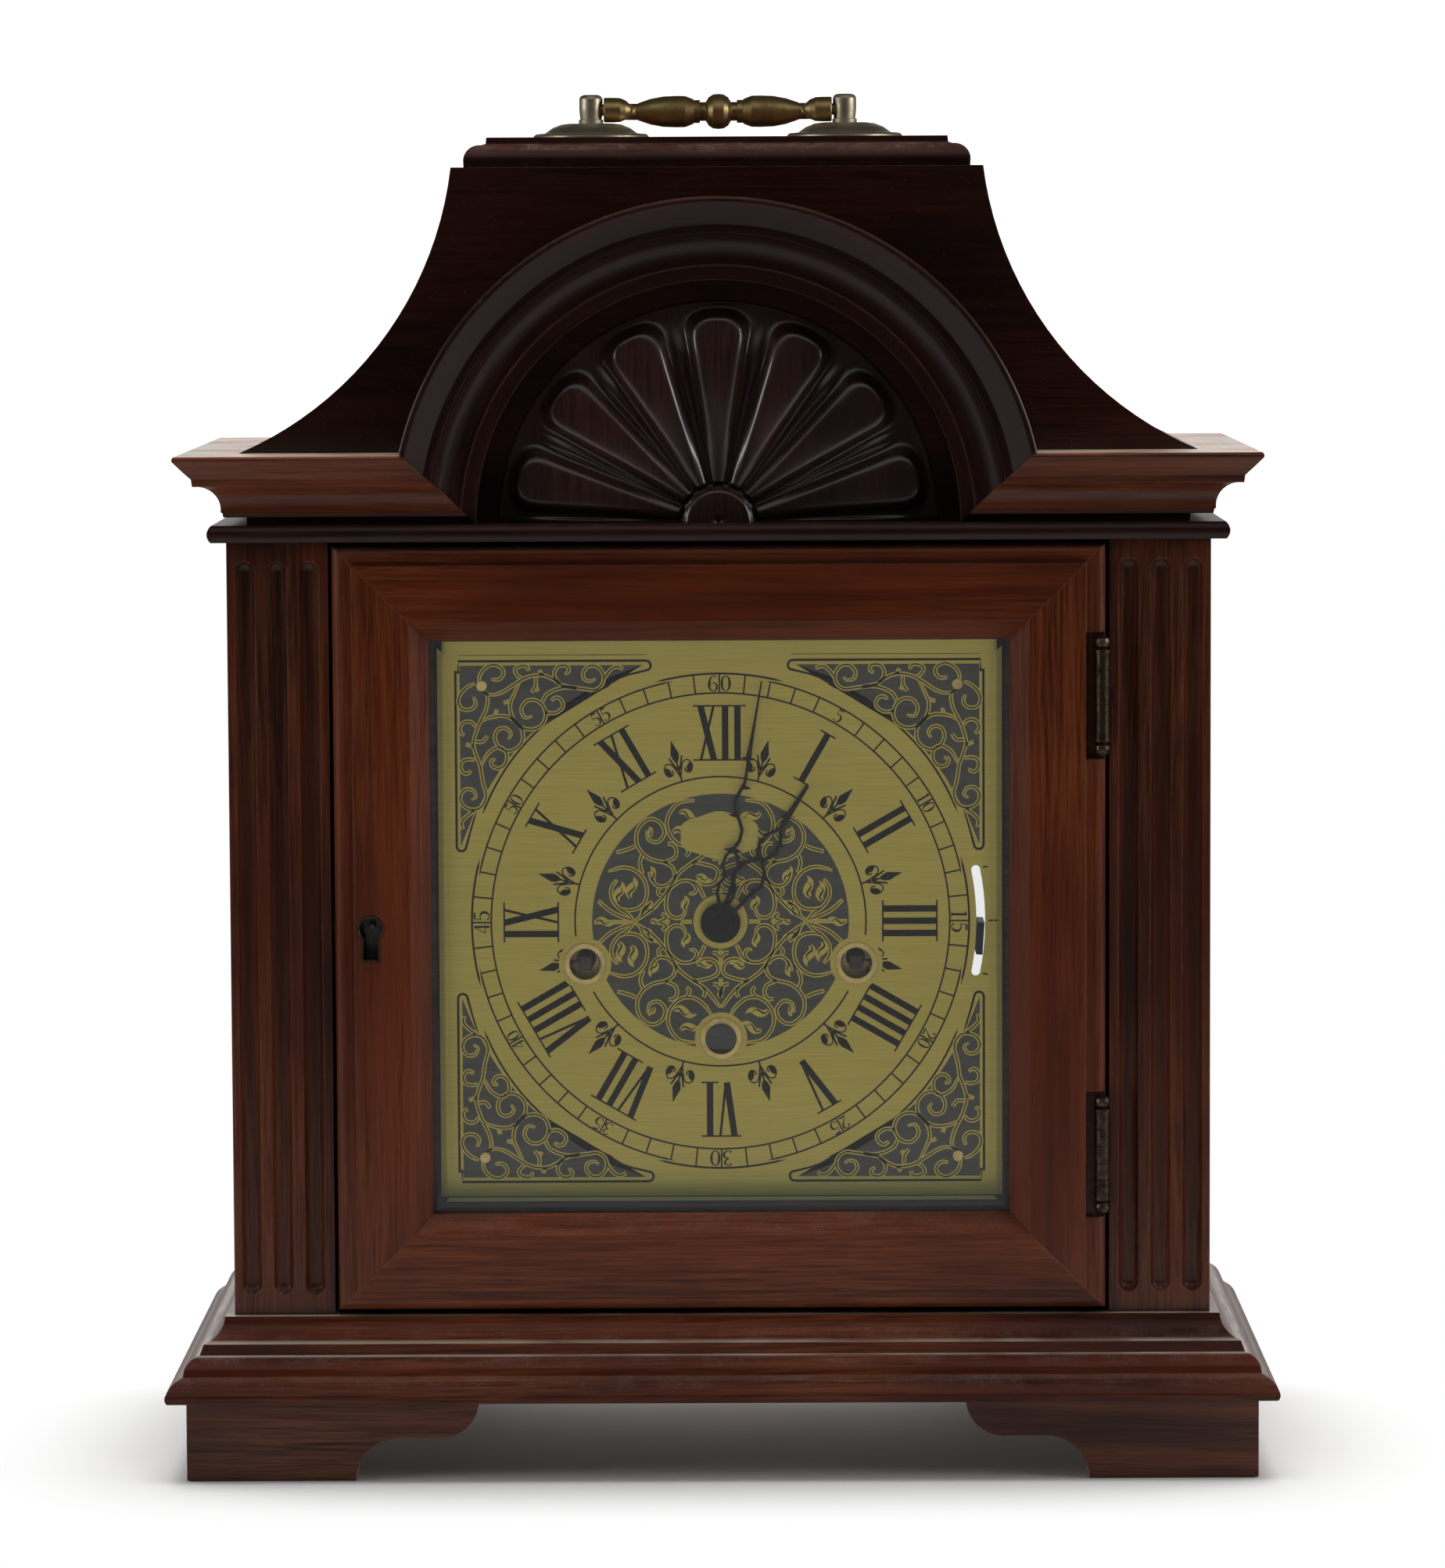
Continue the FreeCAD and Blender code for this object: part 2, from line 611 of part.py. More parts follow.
# ---------------------------------------------------------------- handle
def handle_plate(sign):
    """Round plate with a flat rim and a low dome."""
    dome_foot = (PLATE_R - 3.6, PLATE_RIM_H + 0.2)
    dome = bow(dome_foot, (POST_RING_R, PLATE_H), -1.5, 4)
    profile = [(0, 0), (PLATE_R, 0), (PLATE_R, PLATE_RIM_H - 0.6), (PLATE_R - 0.8, PLATE_RIM_H), dome_foot]
    return turned(profile + dome + [(0, PLATE_H)], V(sign * POST_X, HANDLE_Y, CAP_TOP), Z, X)


def handle_post(sign):
    profile = [(0, 0), (POST_RING_R, 0), (POST_RING_R, POST_RING_H), (POST_R - 0.3, POST_RING_H),
               (POST_R, POST_RING_H + 3.2), (POST_R, POST_H - 1.3), (POST_R - 0.5, POST_H - 0.4),
               (POST_R - 1.4, POST_H), (0, POST_H)]
    post = turned(profile, V(sign * POST_X, HANDLE_Y, CAP_TOP + PLATE_H), Z, X)
    start = V(sign * (POST_X - POST_R - 1), HANDLE_Y, PIVOT_Z)
    hole = rod(start, V(sign * (POST_X + PIVOT_PIN_IN + PIVOT_FIT), HANDLE_Y, PIVOT_Z), PIVOT_PIN_R + PIVOT_FIT)
    return post.cut(hole)


def bail_end():
    """Pivot pin, bullet-shaped boss and bent arm on the +X side."""
    flat = POST_X - POST_R - BOSS_GAP
    nose = bow((BOSS_R, BOSS_L * 0.35), (0.0, BOSS_L), -1.3, 4)
    boss = turned([(0, 0), (BOSS_R - 0.3, 0), (BOSS_R, 0.3), (BOSS_R, BOSS_L * 0.35)] + nose,
                  V(flat, HANDLE_Y, PIVOT_Z), -X, Z)
    pin = rod(V(flat - 1, HANDLE_Y, PIVOT_Z), V(POST_X + PIVOT_PIN_IN, HANDLE_Y, PIVOT_Z), PIVOT_PIN_R)
    turn_y = HANDLE_Y + BAIL_REACH - ARM_BEND
    arm = rod(V(ARM_X, HANDLE_Y, PIVOT_Z), V(ARM_X, turn_y, PIVOT_Z), ARM_R)
    section = Part.Face(Part.Wire([Part.makeCircle(ARM_R, V(ARM_X, turn_y, PIVOT_Z), Y)]))
    bend = section.revolve(V(ARM_X - ARM_BEND, turn_y, PIVOT_Z), Z, 90)
    return [boss, pin, arm, bend]


def handle_bail():
    """Turned grip with a centre bead and two long swells, its bent arms, bosses and pivot pins."""
    end = ARM_X - ARM_BEND
    bead = bow((GRIP_BEAD_R, 0.0), (GRIP_NECK_R, GRIP_BEAD_L / 2), -0.9, 3)
    rise = bow((GRIP_COLLAR_R, 8.2), (GRIP_SWELL_R, 13.8), -0.5, 2)
    fall = bow((GRIP_SWELL_R, 13.8), (ARM_R + 0.15, end), -0.7, 3)
    profile = [(0, 0), (GRIP_BEAD_R, 0)] + bead + [(GRIP_NECK_R, 6.1), (GRIP_COLLAR_R - 0.3, 6.1),
                                                  (GRIP_COLLAR_R - 0.3, 8.2), (GRIP_COLLAR_R, 8.2)]
    profile += rise + fall + [(0, end)]
    grip = turned(profile, V(0, HANDLE_Y + BAIL_REACH, PIVOT_Z), X, Z)
    ends = bail_end()
    whole = grip.fuse(mirrored(grip))
    for piece in ends:
        whole = whole.fuse(piece).fuse(mirrored(piece))
    return [whole]


# ---------------------------------------------------------------- front door
def door_profile():
    """(from the outer edge inward, y)."""
    face, back = DOOR_FACE, DOOR_BACK
    low = face + DOOR_EDGE_DROP
    return [(0, back), (0, low + 2.4), ((1.2, low + 0.6), (DOOR_EDGE_BEAD, low)), (DOOR_EDGE_W - 0.2, low),
            (DOOR_EDGE_W, face), (DOOR_FRAME_W - DOOR_BEVEL_W, face),
            (DOOR_FRAME_W, face + DOOR_BEVEL_D), (DOOR_FRAME_W, GLASS_FRONT),
            (DOOR_FRAME_W - REBATE_W, GLASS_FRONT), (DOOR_FRAME_W - REBATE_W, back)]


def door_members(profile, half, z0, z1, width, y0, y1):
    """Right and left stiles, top and bottom rails of a mitred frame."""
    stile = prism(at(profile, lambda u, y: V(half - u, y, z0)), V(0, 0, z1 - z0))
    rail = prism(at(profile, lambda u, y: V(-half, y, z1 - u)), V(2 * half, 0, 0))
    deep = y1 - y0 + 2

    def keep(corners):
        return prism([V(x, y0 - 1, z) for x, z in corners], V(0, deep, 0))
    right = stile.common(keep([(half, z0), (half, z1), (half - width, z1 - width), (half - width, z0 + width)]))
    top = rail.common(keep([(-half, z1), (half, z1), (half - width, z1 - width), (width - half, z1 - width)]))
    bottom = top.mirror(V(0, 0, (z0 + z1) / 2), Z)
    return right, mirrored(right), top, bottom


def keyhole(radius, slot_w, drop, y0, y1):
    x = LOCK_U - DOOR_HALF
    round_part = rod(V(x, y0, LOCK_Z), V(x, y1, LOCK_Z), radius)
    return fuse([round_part, box(x - slot_w / 2, x + slot_w / 2, y0, y1, LOCK_Z - drop, LOCK_Z)])


BOLT_Y0 = DOOR_BACK - LOCK_T / 2 - BOLT_T / 2
BOLT_Z0 = LOCK_Z - BOLT_H / 2
LEAF_Z = [(z - KNUCKLES * KNUCKLE_L / 2, z + KNUCKLES * KNUCKLE_L / 2) for z in HINGE_Z]


def lock_box(grow):
    x0 = -DOOR_HALF
    return box(x0, x0 + LOCK_W + grow, DOOR_BACK - LOCK_T - grow, DOOR_BACK, LOCK_Z - LOCK_H / 2 - grow,
               LOCK_Z + LOCK_H / 2 + grow)


HINGE_REACH = KNUCKLES * KNUCKLE_L / 2 + HINGE_COLLAR_L + 2 * HINGE_BALL_R


def front_door_frame():
    right, left, top, bottom = door_members(door_profile(), DOOR_HALF, DOOR_Z0, DOOR_Z1, DOOR_FRAME_W,
                                            DOOR_FACE, DOOR_BACK)
    for z in HINGE_Z:
        reach = HINGE_REACH + 0.4
        right = right.cut(box(DOOR_HALF - DOOR_EDGE_W, DOOR_HALF + 1, DOOR_FACE - 1,
                              HINGE_Y + HINGE_BALL_R + 0.5, z - reach, z + reach))
    for z0, z1 in LEAF_Z:
        right = right.cut(box(DOOR_HALF - LEAF_T, DOOR_HALF + 1, HINGE_Y, HINGE_Y + LEAF_DEPTH, z0, z1))
    left = left.cut(keyhole(KEYHOLE_R, KEYHOLE_SLOT_W, KEYHOLE_DROP, DOOR_FACE - 1, DOOR_BACK))
    left = left.cut(lock_box(0.0))
    return right, left, top, bottom


def keyhole_liner():
    depth = DOOR_T - LOCK_T
    ring = keyhole(KEYHOLE_R, KEYHOLE_SLOT_W, KEYHOLE_DROP, DOOR_FACE - 0.2, DOOR_FACE + depth)
    hole = keyhole(KEYHOLE_R - LINER_T, KEYHOLE_SLOT_W - 2 * LINER_T, KEYHOLE_DROP - LINER_T,
                   DOOR_FACE - 1, DOOR_FACE + depth + 1)
    return [ring.cut(hole)]


def lock_case():
    body = lock_box(0.0)
    channel = box(-DOOR_HALF - 1, -DOOR_HALF + BOLT_L + 0.6, BOLT_Y0 - BOLT_FIT,
                  BOLT_Y0 + BOLT_T + BOLT_FIT, BOLT_Z0 - BOLT_FIT, BOLT_Z0 + BOLT_H + BOLT_FIT)
    hole = keyhole(KEYHOLE_R - LINER_T, KEYHOLE_SLOT_W - 2 * LINER_T, KEYHOLE_DROP - LINER_T,
                   DOOR_BACK - LOCK_T - 1, BOLT_Y0 - 0.8)
    x = LOCK_U - DOOR_HALF
    key_pin = rod(V(x, DOOR_BACK - LOCK_T - 1, LOCK_Z), V(x, BOLT_Y0 - 0.3, LOCK_Z), 0.9)
    return [body.cut(channel).cut(hole).fuse(key_pin)]


def lock_bolt():
    x0 = -DOOR_HALF + 0.1
    return [box(x0, x0 + BOLT_L, BOLT_Y0, BOLT_Y0 + BOLT_T, BOLT_Z0, BOLT_Z0 + BOLT_H)]


def bevelled_glass():
    half = SIGHT_HALF + REBATE_W - GLASS_PLAY
    z0 = DOOR_Z0 + DOOR_FRAME_W - REBATE_W + GLASS_PLAY
    z1 = DOOR_Z1 - DOOR_FRAME_W + REBATE_W - GLASS_PLAY
    drop = GLASS_T - GLASS_EDGE_T

    def ring(inset, y):
        return Part.makePolygon([V(sx * (half - inset), y, z) for sx, z in
                                 ((-1, z0 + inset), (1, z0 + inset), (1, z1 - inset), (-1, z1 - inset),
                                  (-1, z0 + inset))])
    slab = box(-half, half, GLASS_FRONT + drop, GLASS_BACK, z0, z1)
    crown = Part.makeLoft([ring(0, GLASS_FRONT + drop), ring(GLASS_BEVEL_W, GLASS_FRONT)], True, True)
    return [fuse([slab, crown])]


def frame_strips(half, z0, z1, width, y0, y1):
    """Four plain mitred strips just inside a rebate."""
    profile = [(0, y0), (width, y0), (width, y1), (0, y1)]
    return list(door_members(profile, half, z0, z1, width, y0, y1))


def glass_beads():
    inset = DOOR_FRAME_W - REBATE_W
    return frame_strips(DOOR_HALF - inset, DOOR_Z0 + inset, DOOR_Z1 - inset, GLASS_BEAD_W,
                        GLASS_BACK, DOOR_BACK)


def knuckle_z(index, centre):
    z = centre + (index - KNUCKLES / 2) * KNUCKLE_L
    return z + KNUCKLE_GAP / 2, z + KNUCKLE_L - KNUCKLE_GAP / 2


def hinge_leaf(centre, on_door):
    """One leaf with its knuckles: the door has the even ones, bored for the case leaf's pin."""
    x0 = DOOR_HALF - LEAF_T if on_door else DOOR_HALF + DOOR_GAP - LEAF_T
    low, high = knuckle_z(0, centre)[0], knuckle_z(KNUCKLES - 1, centre)[1]
    tab_y, plate_y = HINGE_Y + HINGE_R - LEAF_T, HINGE_Y + HINGE_R + HINGE_LEAF_GAP
    parts = [box(x0, x0 + LEAF_T, plate_y, HINGE_Y + LEAF_DEPTH, low, high)]
    for n in range(1 if on_door else 0, KNUCKLES, 2):
        z0, z1 = knuckle_z(n, centre)
        parts.append(rod(V(HINGE_X, HINGE_Y, z0), V(HINGE_X, HINGE_Y, z1), HINGE_R))
        parts.append(box(HINGE_X, x0 + LEAF_T, tab_y, HINGE_Y + HINGE_R, z0, z1))
        parts.append(box(x0, x0 + LEAF_T, tab_y, plate_y, z0, z1))
    if on_door:
        bore = rod(V(HINGE_X, HINGE_Y, low), V(HINGE_X, HINGE_Y, high), HINGE_PIN_R + HINGE_FIT)
        return fuse(parts).cut(bore)
    half = KNUCKLES * KNUCKLE_L / 2
    ball = bow((HINGE_R * 0.6, half + HINGE_COLLAR_L), (0.0, half + HINGE_COLLAR_L + 2 * HINGE_BALL_R * 0.92),
               0.6 - HINGE_BALL_R, 5)
    end = [(0, 0), (HINGE_PIN_R, 0), (HINGE_PIN_R, half - KNUCKLE_GAP), (HINGE_R + 0.2, half - KNUCKLE_GAP),
           (HINGE_R + 0.2, half + HINGE_COLLAR_L - 0.3), (HINGE_R * 0.6, half + HINGE_COLLAR_L)] + ball
    middle = V(HINGE_X, HINGE_Y, centre)
    return fuse(parts + [turned(end, middle, Z, X), turned(end, middle, -Z, X)])


# ---------------------------------------------------------------- rear door
def rear_frame():
    back, front = CASE_D, REAR_Y
    inner = REAR_FRAME_W
    glass_y = front + REAR_GLASS_T
    profile = [(0, front), (inner - REAR_REBATE, front), (inner - REAR_REBATE, glass_y + 1.5),
               (inner, glass_y + 1.5), (inner, back), (0, back)]
    right, left, top, bottom = door_members(profile, REAR_HALF, REAR_Z0, REAR_Z1, inner, front, back)
    for z in REAR_HINGE_Z:
        low, high = z - REAR_HINGE_L / 2, z + REAR_HINGE_L / 2
        right = right.cut(box(REAR_HALF - LEAF_T, REAR_HALF + 1, CASE_D - REAR_LEAF_DEPTH, CASE_D + 1, low, high))
        right = right.cut(rod(V(REAR_HINGE_X, REAR_HINGE_Y, low), V(REAR_HINGE_X, REAR_HINGE_Y, high),
                              REAR_HINGE_R + 0.2))
    return right, left, top, bottom


def rear_glass():
    inset = REAR_FRAME_W - REAR_REBATE + GLASS_PLAY
    half = REAR_HALF - inset
    y0 = REAR_Y + 1.5
    return [box(-half, half, y0, y0 + REAR_GLASS_T, REAR_Z0 + inset, REAR_Z1 - inset)]


def rear_glass_beads():
    inset = REAR_FRAME_W - REAR_REBATE
    return frame_strips(REAR_HALF - inset, REAR_Z0 + inset, REAR_Z1 - inset, REAR_REBATE - 0.5,
                        REAR_Y, REAR_Y + 1.5)


def rear_knob():
    x, z = REAR_FRAME_W / 2 - REAR_HALF, (REAR_Z0 + REAR_Z1) / 2
    ball = bow((KNOB_R * 0.45, 3.4), (0.0, KNOB_L), -KNOB_R * 0.85, 5)
    profile = [(0, 0), (KNOB_R * 0.75, 0), (KNOB_R * 0.75, 1.0), (KNOB_R * 0.45, 1.4), (KNOB_R * 0.45, 3.4)]
    return [turned(profile + ball, V(x, CASE_D, z), Y, X)]


def rear_hinge(centre, on_door):
    """A short butt hinge: the case has the end knuckles and the pin, the door the middle knuckle."""
    third = REAR_HINGE_L / 3
    low = centre - REAR_HINGE_L / 2
    wide = LEAF_T if on_door else REAR_GAP - REAR_LEAF_GAP
    x0 = REAR_HALF - LEAF_T if on_door else HALF - SIDE_T - wide
    inner_y, knuckle_y = CASE_D - REAR_LEAF_DEPTH, CASE_D - 1.2
    parts = [box(x0, x0 + wide, inner_y, knuckle_y, low + 0.1, low + REAR_HINGE_L - 0.1)]
    for n in ((1,) if on_door else (0, 2)):
        z0, z1 = low + n * third + 0.1, low + (n + 1) * third - 0.1
        parts.append(rod(V(REAR_HINGE_X, REAR_HINGE_Y, z0), V(REAR_HINGE_X, REAR_HINGE_Y, z1), REAR_HINGE_R))
        parts.append(box(REAR_HINGE_X, x0 + wide, REAR_HINGE_Y - 0.5, REAR_HINGE_Y + 0.3, z0, z1))
        parts.append(box(x0, x0 + wide, knuckle_y, REAR_HINGE_Y + 0.3, z0, z1))
    low_end, high_end = V(REAR_HINGE_X, REAR_HINGE_Y, low + 0.1), V(REAR_HINGE_X, REAR_HINGE_Y, low + REAR_HINGE_L - 0.1)
    if on_door:
        return fuse(parts).cut(rod(low_end, high_end, HINGE_PIN_R + HINGE_FIT))
    return fuse(parts + [rod(low_end, high_end, HINGE_PIN_R)])


# ---------------------------------------------------------------- dial
def dial_board():
    inner = HALF - SIDE_T
    board = box(-inner, inner, BOARD_Y, BOARD_Y + DIAL_BOARD_T, BASE_TOP, CASE_TOP)
    return [board.cut(rod(V(0, 0, DIAL_Z), V(0, 60, DIAL_Z), DIAL_HOLE_R))]


def arc_slot(radius, width, half_angle, y0, y1):
    """A curved slot at the dial's right, with round ends."""
    def p(r, a):
        return V(r * math.cos(math.radians(a)), y0, DIAL_Z + r * math.sin(math.radians(a)))
    end = half_angle - math.degrees(width / 2 / radius)
    r0, r1 = radius - width / 2, radius + width / 2
    tip = math.degrees(width / 2 / radius)
    items = [p(r0, -end), (p(radius, -end - tip), p(r1, -end)), (p(r1, 0), p(r1, end)),
             (p(radius, end + tip), p(r0, end)), (p(r0, 0), p(r0, -end))]
    return prism(items, V(0, y1 - y0, 0))


def dial_plate():
    half = DIAL_SIZE / 2
    plate = box(-half, half, DIAL_Y, DIAL_Y + DIAL_T, DIAL_Z - half, DIAL_Z + half)
    holes = [rod(V(x, 0, z), V(x, 60, z), GROMMET_BORE_R) for x, z in ARBORS.values()]
    holes.append(rod(V(0, 0, DIAL_Z), V(0, 60, DIAL_Z), HOUR_PIPE_R + 1.4))
    holes.append(arc_slot(SLOT_R, SLOT_W, SLOT_HALF_ANGLE, 0, 60))
    for hole in holes:
        plate = plate.cut(hole)
    return [plate]


def dial_screws():
    return [axle(sx * DIAL_SCREW, DIAL_Z + sz * DIAL_SCREW, DIAL_Y - 0.7, DIAL_Y, 1.7)
            for sx in (-1, 1) for sz in (-1, 1)]


def grommets():
    return [tube(V(x, DIAL_Y - GROMMET_PROUD, z), V(x, DIAL_Y, z), GROMMET_R, GROMMET_BORE_R)
            for x, z in ARBORS.values()]


def ribbon(points, width, y):
    """A flat strip that follows points (across, along, width share) in the plane of the dial."""
    sides = {1: [], -1: []}
    for n, point in enumerate(points):
        before, after = points[max(n - 1, 0)], points[min(n + 1, len(points) - 1)]
        run = V(after[0] - before[0], 0, after[1] - before[1])
        run.normalize()
        across = V(-run.z, 0, run.x) * (width * point[2] / 2)
        for sign in sides:
            sides[sign].append(V(point[0], y, DIAL_Z + point[1]) + across * sign)
    ring = sides[1] + sides[-1][::-1]
    return prism(ring, V(0, HAND_T, 0))


def barb(x, z, sign, size, y):
    """A pointed leaf at the side of a hand's stem."""
    return prism([V(x - sign * 0.5, y, DIAL_Z + z - size * 0.35), V(x + sign * size, y, DIAL_Z + z - 0.1),
                  V(x - sign * 0.5, y, DIAL_Z + z + size * 0.45)], V(0, HAND_T, 0))


def minute_hand():
    """A serpentine stem over two open loops, pointing to twelve, then turned to its time."""
    y = HAND_PLANES["minute"]
    k = MINUTE_L / 77.8
    stem = [(0.0, 77.8, 0.45), (0.0, 66.0, 0.75), (0.0, 56.0, 1.3), (0.0, 53.0, 1.9), (0.1, 51.6, 1.0),
            (0.2, 45.5, 1.0), (-0.8, 42.6, 1.1), (-1.9, 39.4, 1.1), (-1.5, 36.2, 1.1), (0.4, 33.4, 1.1),
            (1.8, 30.4, 1.1), (1.6, 27.0, 1.1), (0.2, 24.2, 1.2)]
    left = [(0.2, 24.4, 1.0), (-1.9, 21.6, 1.0), (-2.5, 18.6, 1.0), (-0.9, 15.4, 1.0), (-2.5, 12.4, 1.0),
            (-2.6, 9.4, 1.0), (-1.3, 6.0, 1.2), (-0.6, 3.0, 1.2)]
    right = [(-x, z, w) for x, z, w in left]

    def grown(line):
        return [(x * k, z * k, w) for x, z, w in line]
    parts = [ribbon(grown(line), 1.0, y) for line in (stem, left, right)]
    for x, z, sign, size in ((0.4, 53.0, 1, 1.9), (-0.4, 53.0, -1, 1.9), (0.3, 43.8, 1, 2.2),
                             (-1.4, 34.6, -1, 1.9), (0.0, 23.6, -1, 3.0), (0.0, 23.6, 1, 3.0),
                             (-1.0, 15.4, -1, 2.0), (1.0, 15.4, 1, 2.0)):
        parts.append(barb(x * k, z * k, sign, size, y))
    boss = rod(V(0, y, DIAL_Z), V(0, y + HAND_T, DIAL_Z), MINUTE_BOSS_R)
    hand = fuse(parts + [boss])
    hand = hand.cut(rod(V(0, 0, DIAL_Z), V(0, 40, DIAL_Z), CENTRE_R))
    hand.rotate(V(0, 0, DIAL_Z), Y, MINUTE_ANGLE)
    return [hand]


def hour_hand():
    """A short bar over two pairs of open loops with barbs, turned to its time."""
    y = HAND_PLANES["hour"]
    k = HOUR_L / 51.4
    stem = [(0.0, 51.4, 1.2), (0.0, 45.0, 1.5), (0.0, 39.5, 1.9), (0.0, 36.5, 1.4), (0.0, 34.6, 1.2)]
    left = [(0.0, 35.4, 1.0), (-2.4, 31.6, 1.1), (-3.1, 27.8, 1.1), (-0.6, 23.6, 1.2), (-3.4, 20.6, 1.1),
            (-4.8, 16.6, 1.1), (-3.2, 12.6, 1.1), (-2.4, 8.4, 1.2), (-1.4, 4.0, 1.2)]
    right = [(-x, z, w) for x, z, w in left]

    def grown(line):
        return [(x * k, z * k, w) for x, z, w in line]
    parts = [ribbon(grown(line), 1.0, y) for line in (stem, left, right)]
    for x, z, size in ((0.4, 39.0, 1.8), (2.6, 31.0, 2.0), (4.4, 19.4, 2.2), (3.0, 12.4, 2.0)):
        parts.append(barb(x * k, z * k, 1, size, y))
        parts.append(barb(-x * k, z * k, -1, size, y))
    boss = rod(V(0, y - 0.5, DIAL_Z), V(0, y + HAND_T, DIAL_Z), HOUR_BOSS_R)
    hand = fuse(parts + [boss])
    hand = hand.cut(rod(V(0, 0, DIAL_Z), V(0, 40, DIAL_Z), HOUR_PIPE_R))
    hand.rotate(V(0, 0, DIAL_Z), Y, HOUR_ANGLE)
    return [hand]


HAND_PLANES = {"hour": DIAL_Y - 4.4, "minute": DIAL_Y - 7.0}


# ---------------------------------------------------------------- wheels
def toothed(teeth, module, x, z, y0, width, phase=0.0):
    """A wheel with straight-sided teeth inside the involute, so that a pair runs with play."""
    pitch_r = module * teeth / 2
    base_r = pitch_r * math.cos(math.radians(20))
    tip_r, root_r = pitch_r + 0.8 * module, pitch_r - 1.15 * module

    def flank(r):
        turn = math.acos(min(1.0, base_r / r))
        return math.tan(turn) - turn
    half_pitch = math.pi / (2 * teeth) * 0.90
    low_r = max(base_r, root_r)
    half_root = half_pitch + flank(pitch_r) - flank(low_r)
    half_tip = half_pitch + flank(pitch_r) - flank(tip_r)
    points = []
    for n in range(teeth):
        mid = 2 * math.pi * n / teeth + math.radians(phase)
        for r, a in ((root_r, -half_root), (tip_r, -half_tip), (tip_r, half_tip), (root_r, half_root)):
            points.append(V(x + r * math.cos(mid + a), y0, z + r * math.sin(mid + a)))
    return prism(points, V(0, width, 0))


def mesh_phase(teeth, direction, driver_phase, driver_teeth):
    """Phase that puts a tooth of this wheel in the driver's gap, the driver lying at direction."""
    toward = direction + 180.0
    offset = (toward - driver_phase) / (360.0 / driver_teeth)
    lead = (offset - math.floor(offset)) * 360.0 / teeth
    return direction + lead + 180.0 / teeth


def meet(p, q, p_dist, q_dist):
    """The point to the right of p to q at the given distances from each."""
    gap = math.hypot(q[0] - p[0], q[1] - p[1])
    run = (p_dist ** 2 - q_dist ** 2 + gap ** 2) / (2 * gap)
    off = math.sqrt(p_dist ** 2 - run ** 2)
    ux, uz = (q[0] - p[0]) / gap, (q[1] - p[1]) / gap
    return p[0] + ux * run + uz * off, p[1] + uz * run - ux * off


def heading(p, q):
    return math.degrees(math.atan2(q[1] - p[1], q[0] - p[0]))


CENTRE = (0.0, DIAL_Z)
GREAT_Y = INSIDE_Y + 2.0
DRUM_Y = GREAT_Y + GREAT_W
IDLE_POS = meet(ARBORS["going"], CENTRE, GREAT_M * (GREAT_TEETH + IDLE_PINION_TEETH) / 2,
                IDLE_M * (IDLE_WHEEL_TEETH + CENTRE_PINION_TEETH) / 2)
IDLE_WHEEL_Y = DRUM_Y + BARREL_L + 4.0
IDLE_PHASE = mesh_phase(IDLE_PINION_TEETH, heading(IDLE_POS, ARBORS["going"]), 0.0, GREAT_TEETH)
CENTRE_PHASE = mesh_phase(CENTRE_PINION_TEETH, heading(CENTRE, IDLE_POS), IDLE_PHASE, IDLE_WHEEL_TEETH)
MOTION_DIST = MOTION_M * (CANNON_TEETH + MINUTE_WHEEL_TEETH) / 2
MOTION_M2 = 2 * MOTION_DIST / (MOTION_PINION_TEETH + HOUR_WHEEL_TEETH)
MOTION_POS = (MOTION_DIST * math.cos(math.radians(MOTION_ANGLE)),
              DIAL_Z + MOTION_DIST * math.sin(math.radians(MOTION_ANGLE)))
DRUM_DIST = GREAT_M * (GREAT_TEETH + DRUM_TEETH) / 2
DRUM_OFFSET_X = 4.0
DRUM_POS = (SIDE_ARBOR_X + DRUM_OFFSET_X, ARBORS["chime"][1] - math.sqrt(DRUM_DIST ** 2 - DRUM_OFFSET_X ** 2))
CANNON_Y = FRONT_PLATE_Y - 6.0
HOUR_WHEEL_Y = CANNON_Y - 5.0
HAMMER_Y = [INSIDE_Y + 9.0 + HAMMER_PITCH * n for n in range(HAMMERS)]
ROD_TOP = HAMMER_Z - HAMMER_DZ - HAMMER_HEAD_H / 2 - ROD_GAP


def axle(x, z, y0, y1, radius):
    return rod(V(x, y0, z), V(x, y1, z), radius)


def movement_plate(y0):
    plate = box(-MOVE_W / 2, MOVE_W / 2, y0, y0 + MOVE_PLATE_T, DIAL_Z - MOVE_H / 2, DIAL_Z + MOVE_H / 2)
    holes = [(x, z, ARBOR_R + RUN_FIT) for x, z in ARBORS.values()]
    holes += [(0.0, DIAL_Z, CENTRE_R + RUN_FIT), (IDLE_POS[0], IDLE_POS[1], 1.0 + RUN_FIT),
              (DRUM_POS[0], DRUM_POS[1], 1.5 + RUN_FIT)]
    for x, z, r in holes:
        plate = plate.cut(axle(x, z, y0 - 1, y0 + MOVE_PLATE_T + 1, r))
    return plate


def pair(x, z, y0, y1, radius):
    return [axle(sign * x, z, y0, y1, radius) for sign in (-1, 1)]


